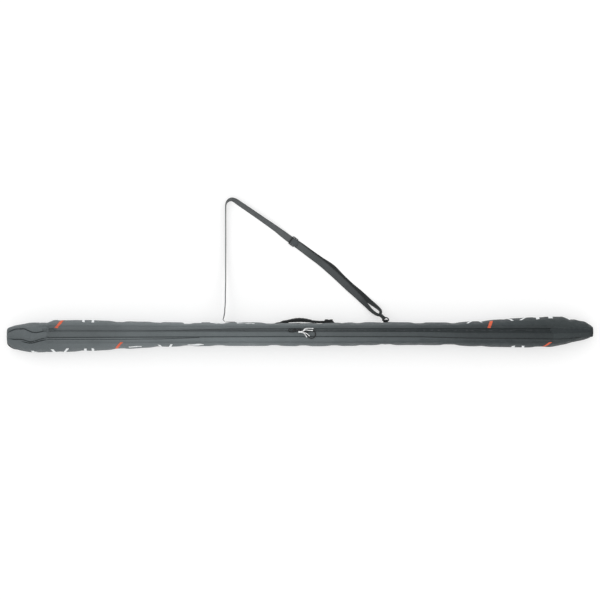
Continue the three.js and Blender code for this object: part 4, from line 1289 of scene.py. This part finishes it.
def make_end_binding():
    """Tape folded over the edge of the right end's wall."""
    centre = SHELL[-1].mean(axis=0)
    ring = SHELL[-1].copy()
    outwards = unit((ring - centre) * (0, 1, 1))
    angles = np.linspace(-0.62 * math.pi, 0.62 * math.pi, 9)
    rows = (ring[:, None] + outwards[:, None] * (np.cos(angles) * 1.9 * MM)[None, :, None]
            + np.array([1.0, 0, 0]) * ((np.sin(angles) * 3.0 - 2.4) * MM)[None, :, None])
    rows = closed_up(rows)
    binding = grid_object("end_binding", rows, even_uv(rows), BINDING)
    soften(binding)
    path = closed_up(ring) + closed_up(outwards) * 2.0 * MM
    path[:, 0] -= 4.2 * MM
    row = stitches("end_binding_stitches", path, closed_up(outwards), DARK_THREAD, 3.4 * MM)
    for piece in (binding, row):
        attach(piece, "bag")
    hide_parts("end_binding_right")


# Round the left end's plain-side corner: x and y in millimetres
CORNER_PIPING = [(-1049.5, -14), (-1050.3, -26), (-1049.3, -35), (-1043.5, -42.5), (-1031, -50.5),
                 (-1014, -56)]


def make_corner_piping():
    flat = smooth_route(np.array(CORNER_PIPING) * MM, 8)
    path = np.column_stack([flat, np.full(len(flat), WIDEST_Z - 0.004)])
    radii = 2.3 * MM * np.clip(2.2 * np.sin(np.linspace(0.12, math.pi - 0.12, len(path))), 0.25, 1)
    piping = tube_object("corner_piping", path, radii, BINDING)
    soften(piping)
    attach(piping, "bag")
    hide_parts("corner_piping_left")


make_white_prints()
make_dashes()
make_end_binding()
make_corner_piping()

# ---------------------------------------------------------------- webbing

# In millimetres
WEBBING = 25
WEBBING_THICKNESS = 1.6
HARDWARE_Z = 57
UPWARDS = (0, 0, 1)
OUTWARDS = (0, 1, 0)  # from the bag's strap side


def webbing_object(name, centres, across, widths, thickness, material):
    """Flat webbing with rounded, slightly scalloped borders. Its uv is metres along, 0 to 1 across.
    across, widths and thickness are one value, or one for each of the centres."""
    across = np.broadcast_to(across, centres.shape)
    along = unit(np.gradient(centres, axis=0))
    through = unit(np.cross(along, across))
    reach = lengths_along(centres)
    half = np.asarray(widths) / 2 + 0.3 * MM * np.sin(reach * 2 * math.pi / (6 * MM))
    upper = [(-0.97, 0.42), (-0.88, 0.5), (-0.45, 0.47), (0, 0.46), (0.45, 0.47), (0.88, 0.5), (0.97, 0.42)]
    outline = [(-1, 0), *upper, (1, 0), *[(a, -b) for a, b in upper[::-1]]]
    sides = np.array([a for a, _ in outline])
    heights = np.broadcast_to(thickness, len(centres))[:, None] * np.array([b for _, b in outline])
    rows = (centres[:, None] + across[:, None] * (half[:, None] * sides[None])[..., None]
            + through[:, None] * heights[..., None])
    places = np.append(sides, sides[0]) / 2 + 0.5
    return swept_object(name, rows, grid_of(reach, places), material)


def route_webbing(name, stations, material, per_leg=16, thickness=WEBBING_THICKNESS):
    """Webbing through stations (x, y, z, tilt, width). Tilt 0 lies flat, 90 stands on its edge. Gives
    the webbing, its length and its mean width."""
    stations = np.array(stations, float)
    centres = smooth_route(stations[:, :3] * MM, per_leg)
    at = np.linspace(0, len(stations) - 1, len(centres))
    tilt = np.radians(np.interp(at, np.arange(len(stations)), stations[:, 3]))[:, None]
    widths = np.interp(at, np.arange(len(stations)), stations[:, 4]) * MM
    along = unit(np.gradient(centres, axis=0))
    level = unit(np.stack([-along[:, 1], along[:, 0], np.zeros(len(along))], axis=-1))
    rise = unit(np.cross(along, level))
    across = level * np.cos(tilt) + rise * np.sin(tilt)
    obj = webbing_object(name, centres, across, widths, thickness * MM, material)
    return obj, lengths_along(centres)[-1], float(np.mean(widths))


def at_bag(x, y):
    return (x, y, HARDWARE_Z, 90, WEBBING)


def standing(x, y, tilt):
    """On the floor on its lower edge."""
    angle, half = math.radians(tilt), WEBBING_THICKNESS / 2
    return (x, y, half + WEBBING / 2 * math.sin(angle) + half * math.cos(angle), tilt, WEBBING)


def riser(x, y):
    """The webbing stands on its edge and comes down from the bag to the floor."""
    share = min(max((FLOOR_FROM_Y - y) / (FLOOR_FROM_Y - BAG_AT_Y), 0), 1)
    x, y, z, tilt, width = standing(x, y, 85)
    return (x, y, z + (HARDWARE_Z - z) * share**2, tilt, width)


def lying(x, y, z=3.0, tilt=0, width=WEBBING):
    return (x, y, z, tilt, width)


BAG_AT_Y, FLOOR_FROM_Y = 52, 330  # where the riser leaves the bag and where it meets the floor
STRAP_AXIS_Y = 48
D_RING_X, D_RING_RADIUS, D_RING_SIDE, D_RING_WIRE = 307.5, 12.5, 3.5, 3.4
D_RING_LOOK = 4.3  # the wire as it looks in the photo, a little thicker than the CAD's
DROOP = math.radians(40)
STRAP_CONTACT = math.radians(128)
EYE_WIDTH, EYE_THICKNESS, EYE_LEG, EYE_SLACK, EYE_TILT = 11.5, 1.8, 9, 1.6, -27
WIRE_CLEARANCE = 1.9 + 0.35  # from the middle of the CAD's wire to its corner, and a gap
EYE_LIFT = WIRE_CLEARANCE + EYE_THICKNESS / 2


def on_ring(u, v, lift=0.0):
    """A point in the plane of the drooping D-ring, in millimetres: u along its bar, v out."""
    return np.array([D_RING_X + u, STRAP_AXIS_Y + v * math.cos(DROOP) + lift * math.sin(DROOP),
                     HARDWARE_Z - v * math.sin(DROOP) + lift * math.cos(DROOP)])


def at_eye(reach, lift):
    radius = D_RING_RADIUS - D_RING_WIRE / 2 + reach
    return on_ring(radius * math.cos(STRAP_CONTACT), D_RING_SIDE + radius * math.sin(STRAP_CONTACT), lift)


def eye_end(side):
    return [lying(*at_eye(reach, side * EYE_LIFT), EYE_TILT, EYE_WIDTH)
            for reach in (EYE_LEG + 9, EYE_LEG + 0.3)]


STRAP_ROUTE = [
    at_bag(-269.5, 44.6), at_bag(-276, 51), riser(-273.5, 62), riser(-271, 76),
    riser(-270, 90), riser(-268.5, 115), riser(-268.5, 145), riser(-267.5, 185), riser(-267.5, 250),
    riser(-267.5, 330), riser(-267.5, 400), standing(-267.5, 458, 84), standing(-265.5, 470.5, 80),
    standing(-258, 480.5, 70), standing(-246.5, 484.5, 60), standing(-234, 480.5, 51),
    standing(-220.5, 471.5, 46), standing(-165, 433.5, 43), standing(-126, 406.5, 40),
    standing(-86, 378.5, 32), standing(-62, 360.3, 16), standing(-48, 349.7, 4), lying(-38, 342.4),
    lying(-29, 336), lying(1, 313.4), lying(37, 286),
    lying(74, 258), lying(109, 228), lying(143, 197), lying(177, 165), lying(204, 139.5, 3.8, 0, 22),
    lying(222, 121.5, 4.5, 0, 20.5), lying(241, 101.5, 6.5, 0, 16), lying(255, 86, 12, -6, 13),
    lying(273, 72, 25, -16, EYE_WIDTH), *eye_end(-1)]
STRAP_RETURN = [
    lying(-18, 329, 1.1), lying(3, 315.5, 1.1), lying(39, 289.5, 1.1), lying(77, 263, 1.1),
    lying(115, 238, 1.1), lying(148, 204.5, 1.1), lying(182, 173, 1.1, 0, 24),
    lying(212, 149.5, 1.1, 0, 22),
    lying(234, 131, 2.4, 0, 20), lying(254, 114.5, 7, -4, 17), lying(275, 98, 18.5, -14, 14),
    lying(289, 84, 32, -21, EYE_WIDTH), *eye_end(1)]
GLIDE = {"x": -24 * MM, "y": 332.6 * MM, "turn": math.radians(-36.5), "z": 4.3}


def make_shoulder_strap():
    front, length, width = route_webbing("shoulder_webbing", STRAP_ROUTE, GREY_WEBBING)
    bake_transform(front)
    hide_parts("strap_root", "strap_riser", "strap_upper_run", "strap_lower_run")
    back, length, width = route_webbing("shoulder_webbing_back", STRAP_RETURN, SHADED_BACK_WEBBING)
    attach(back, "shoulder_strap")
    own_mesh(back)
    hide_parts("strap_return_run")


def make_strap_eye():
    """The gathered webbing that turns back round the D-ring's bow."""
    bend = [at_eye(EYE_LIFT * math.cos(a) - EYE_SLACK, EYE_LIFT * math.sin(a))
            for a in np.radians(np.linspace(90, 270, 9))]
    route = smooth_route(np.array([at_eye(EYE_LEG, EYE_LIFT), *bend, at_eye(EYE_LEG, -EYE_LIFT)]) * MM, 4)
    wire = unit(on_ring(-math.sin(STRAP_CONTACT), math.cos(STRAP_CONTACT)) - on_ring(0, 0))
    eye = webbing_object("strap_ring_eye", route, -wire, EYE_WIDTH * MM, EYE_THICKNESS * MM, SHADED_BACK_WEBBING)
    soften(eye)
    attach(eye, "shoulder_strap")
    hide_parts("strap_eye")


def glide_place(along, across, z):
    c, s = math.cos(GLIDE["turn"]), math.sin(GLIDE["turn"])
    x, y = GLIDE["x"] / MM + along * c - across * s, GLIDE["y"] / MM + along * s + across * c
    return x, y, GLIDE["z"] + z


def make_glide_webbing():
    """The webbing that comes up through the tri-glide, over its bar and down again."""
    over = 2.4 + 0.6 + 0.8  # the tri-glide's thickness, a gap and half the webbing's thickness
    hump = [(-6.6, 0.7), (-3.9, over - 0.4), (0, over), (5.5, over), (11, over), (15, over - 1), (19, 0.7)]
    stations = [lying(*glide_place(along, 0, z)) for along, z in hump]
    arch, _, _ = route_webbing("strap_over_glide_bar", stations, GLIDE_WEBBING, 8)
    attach(arch, "tri_glide")
    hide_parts("strap_over_glide")


def on_side(xs, ys, z=HARDWARE_Z):
    """A line along the bag's strap side. ys is one distance in metres, or one for each of the xs."""
    return np.stack([xs, np.broadcast_to(ys, len(xs)), np.full(len(xs), z * MM)], axis=-1)


def make_strap_foot():
    """The strap's sewn end, flat on the side of the bag, with a box of stitches."""
    start, end = -268, -230
    inner = max(edge_at(start * MM, 1), edge_at(end * MM, 1)) + 0.4 * MM
    xs = np.linspace(start, end, 24) * MM
    dip = 1.0 * MM * smoothstep((end - 6) * MM, end * MM, xs)
    foot = webbing_object("strap_anchor", on_side(xs, inner + 0.9 * MM - dip), UPWARDS, WEBBING * MM,
                          WEBBING_THICKNESS * MM, BLACK_WEBBING)
    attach(foot, "bag")
    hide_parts("strap_foot")
    surface = inner + 1.8 * MM
    box_stitches("strap_anchor_stitches", start + 4, end - 4, surface, surface, 9.5)


def box_stitches(name, x0, x1, y0, y1, half):
    """A sewn box with a cross in it, on webbing that lies on the bag's strap side: y0 is the
    webbing's surface at x0 and y1 at x1."""
    low, high = (HARDWARE_Z - half) * MM, (HARDWARE_Z + half) * MM
    corners = [(x0, low), (x1, low), (x1, high), (x0, high), (x0, low), (x1, high)]
    path = []
    for (xa, za), (xb, zb) in zip(corners, corners[1:]):
        for share in np.linspace(0, 1, 8)[:-1]:
            path.append((mix(xa, xb, share) * MM, 0.0, mix(za, zb, share)))
    path.append((x1 * MM, 0.0, high))
    path = np.array(path)
    path[:, 1] = np.interp(path[:, 0], (x0 * MM, x1 * MM), (y0, y1))
    row = stitches(name, path, OUTWARDS, DARK_THREAD, 2.6 * MM, 2.0 * MM)
    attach(row, "bag")


make_shoulder_strap()
make_strap_eye()
make_glide_webbing()
make_strap_foot()

# ---------------------------------------------------------------- the carry handle

GRIP_ENDS = (-46, 43)


def grip_faces(share):
    """The grip's inner and outer faces as distances from the bag, in millimetres."""
    swell = math.sin(math.pi * share) ** 0.9
    return 2.4 + 2.0 * swell, 12.4 + 7.6 * swell


def make_grip():
    """A padded sleeve sewn round the webbing, thickest in the middle."""
    angles = 2 * math.pi * np.arange(24) / 24
    reach, rise = (np.sign(turn) * np.abs(turn) ** 0.8 for turn in (np.cos(angles), np.sin(angles)))
    rows = []
    for share in np.linspace(0, 1, 40):
        inner, outer = grip_faces(share)
        x = mix(*GRIP_ENDS, share)
        half_y, half_z = (outer - inner) / 2, 11.6 - 1.6 * abs(2 * share - 1) ** 6
        wrinkle = 1 + 0.035 * math.sin(share * 41) + 0.02 * math.sin(share * 97 + 1)
        ys = HANDLE_SIDE_Y + ((inner + outer) / 2 + half_y * wrinkle * reach) * MM
        rows.append(np.stack([np.full(24, x * MM), ys, HARDWARE_Z * MM + half_z * rise * MM], axis=-1))
    points = np.array(rows)[:, ::-1]
    grip = grid_object("handle_sleeve", points, even_uv(points, True), GRIP_CLOTH, closed=True)
    soften(grip)
    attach(grip, "handle")
    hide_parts("handle_grip")
    edge = points[2:-2, 6] + (0, 0, 0.25 * MM)
    row = stitches("handle_sleeve_stitches", edge, UPWARDS, DARK_THREAD, 3.0 * MM, 2.2 * MM)
    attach(row, "handle")


# Each end of the handle, from its foot on the bag to the sleeve: along the bag, how far the middle
# of the folded webbing is from the bag, and how thick it is, in millimetres. It is sewn down over
# the first stations and free from the last but one.
HANDLE_ENDS = {
    "left": ((-89, -73, -60, -46, -40), (0.9, 2.4, 5.4, 6.4, 7.6), (1.2, 4.2, 10, 12, 9)),
    "right": ((130, 121, 118, 84, 66, 37), (0.9, 2.4, 4.7, 4.7, 4.9, 7.4), (1.4, 4.2, 9, 9, 9, 9.5)),
}


def make_handle_webbing():
    """Each end of the handle: sewn flat on the bag, then folded double and led into the sleeve."""
    for label, (places, lifts, thicknesses) in HANDLE_ENDS.items():
        side = SIDES[label]
        xs = np.linspace(places[0], places[-1], 48)
        order = np.array(places) * -side
        lift = np.interp(xs * -side, order, lifts)
        thickness = np.interp(xs * -side, order, thicknesses) * MM
        centres = on_side(xs * MM, HANDLE_SIDE_Y + lift * MM)
        strip = webbing_object(f"handle_webbing_{label}", centres, UPWARDS, WEBBING * MM, thickness,
                               BLACK_WEBBING)
        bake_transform(strip)
        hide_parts(f"handle_foot_{label}", f"handle_leg_{label}")
        if side < 0:
            box_stitches("handle_stitches_left", -86, -74,
                         HANDLE_SIDE_Y + 2.2 * MM, HANDLE_SIDE_Y + 4.4 * MM, 9.0)


def make_handle_tail():
    """The loose end of the webbing, folded into two humps over the buckle."""
    y0 = HANDLE_SIDE_Y / MM
    folds = ((89, 11.8), (96, 13), (104, 11.4), (112, 12.8), (118, 11.6))
    tail = [(x, y0 + lift, HARDWARE_Z, 90, 23) for x, lift in folds]
    piece, _, _ = route_webbing("handle_tail", tail, BLACK_WEBBING, 12, 4.0)
    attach(piece, "bag")
    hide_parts("handle_webbing_tail")


make_grip()
make_handle_webbing()
make_handle_tail()

# ---------------------------------------------------------------- D-ring and other hardware


def make_d_ring():
    """Round wire bent to a D and welded behind its bar."""
    half = D_RING_WIRE / 2
    reach = D_RING_RADIUS - half
    corner = 2.2
    bar = [(u, 0.0) for u in np.linspace(-reach + corner, reach - corner, 8)]
    first_corner = [(reach - corner + corner * math.sin(a), corner - corner * math.cos(a))
                    for a in np.linspace(0.3, math.pi / 2, 4)]
    bow = [(reach * math.cos(a), D_RING_SIDE + reach * math.sin(a))
           for a in np.linspace(0.05, math.pi - 0.05, 26)]
    last_corner = [(-u, v) for u, v in first_corner[::-1]]
    path = np.array([on_ring(u, v) for u, v in bar + first_corner + bow + last_corner]) * MM
    ring = tube_object("strap_d_ring", path, D_RING_LOOK / 2 * MM, METAL, sides=14, closed=True)
    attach(ring, "d_ring")
    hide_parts("d_ring")


def make_ring_tab():
    """Webbing folded round the ring's bar, both legs sewn to the side of the bag."""
    bend = WIRE_CLEARANCE + 0.8
    inner = edge_at(D_RING_X * MM, 1) / MM + 1.3
    outer = inner + 1.9
    turn = [(STRAP_AXIS_Y + bend * math.cos(a), HARDWARE_Z + bend * math.sin(a))
            for a in np.radians(np.linspace(115, -115, 11))]
    profile = [(inner, 34), (inner, 50), (inner + 0.8, 56), *turn, (outer + 0.1, 49.5), (outer, 46),
               (outer, 34)]
    route = smooth_route(np.array([(D_RING_X, y, z) for y, z in profile]) * MM, 4)
    tab = webbing_object("ring_tab", route, (1, 0, 0), 17 * MM, WEBBING_THICKNESS * MM, BLACK_WEBBING)
    xs = np.linspace(D_RING_X - 7, D_RING_X + 7, 6) * MM
    path = on_side(xs, (outer + 0.95) * MM, 41)
    row = stitches("ring_tab_stitches", path, OUTWARDS, DARK_THREAD, 2.0 * MM, 1.6 * MM)
    for piece in (tab, row):
        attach(piece, "bag")
    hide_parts("d_ring_tab")


HARD_NODES = {
    "slider_body_left": (METAL, 0.35), "slider_body_right": (METAL, 0.35),
    "slider_bridge_left": (METAL, 0.3), "slider_bridge_right": (METAL, 0.3),
    "pull_loop_left": (PLASTIC, 0.7), "pull_ring_right": (PLASTIC, 0.7),
    "tri_glide": (PLASTIC, 0.5), "handle_buckle": (PLASTIC, 0.5),
}


def finish_hardware():
    """Rounds the edges of the moulded and cast pieces and gives them their finish."""
    for name, (material, radius) in HARD_NODES.items():
        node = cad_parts[name]
        node.data.materials.clear()
        node.data.materials.append(material)
        bevel = node.modifiers.new("rounded_edges", "BEVEL")
        bevel.width = radius * MM
        bevel.segments = 3
        bevel.limit_method = "ANGLE"
        bevel.angle_limit = math.radians(35)
        bevel.harden_normals = True


make_d_ring()
make_ring_tab()
finish_hardware()
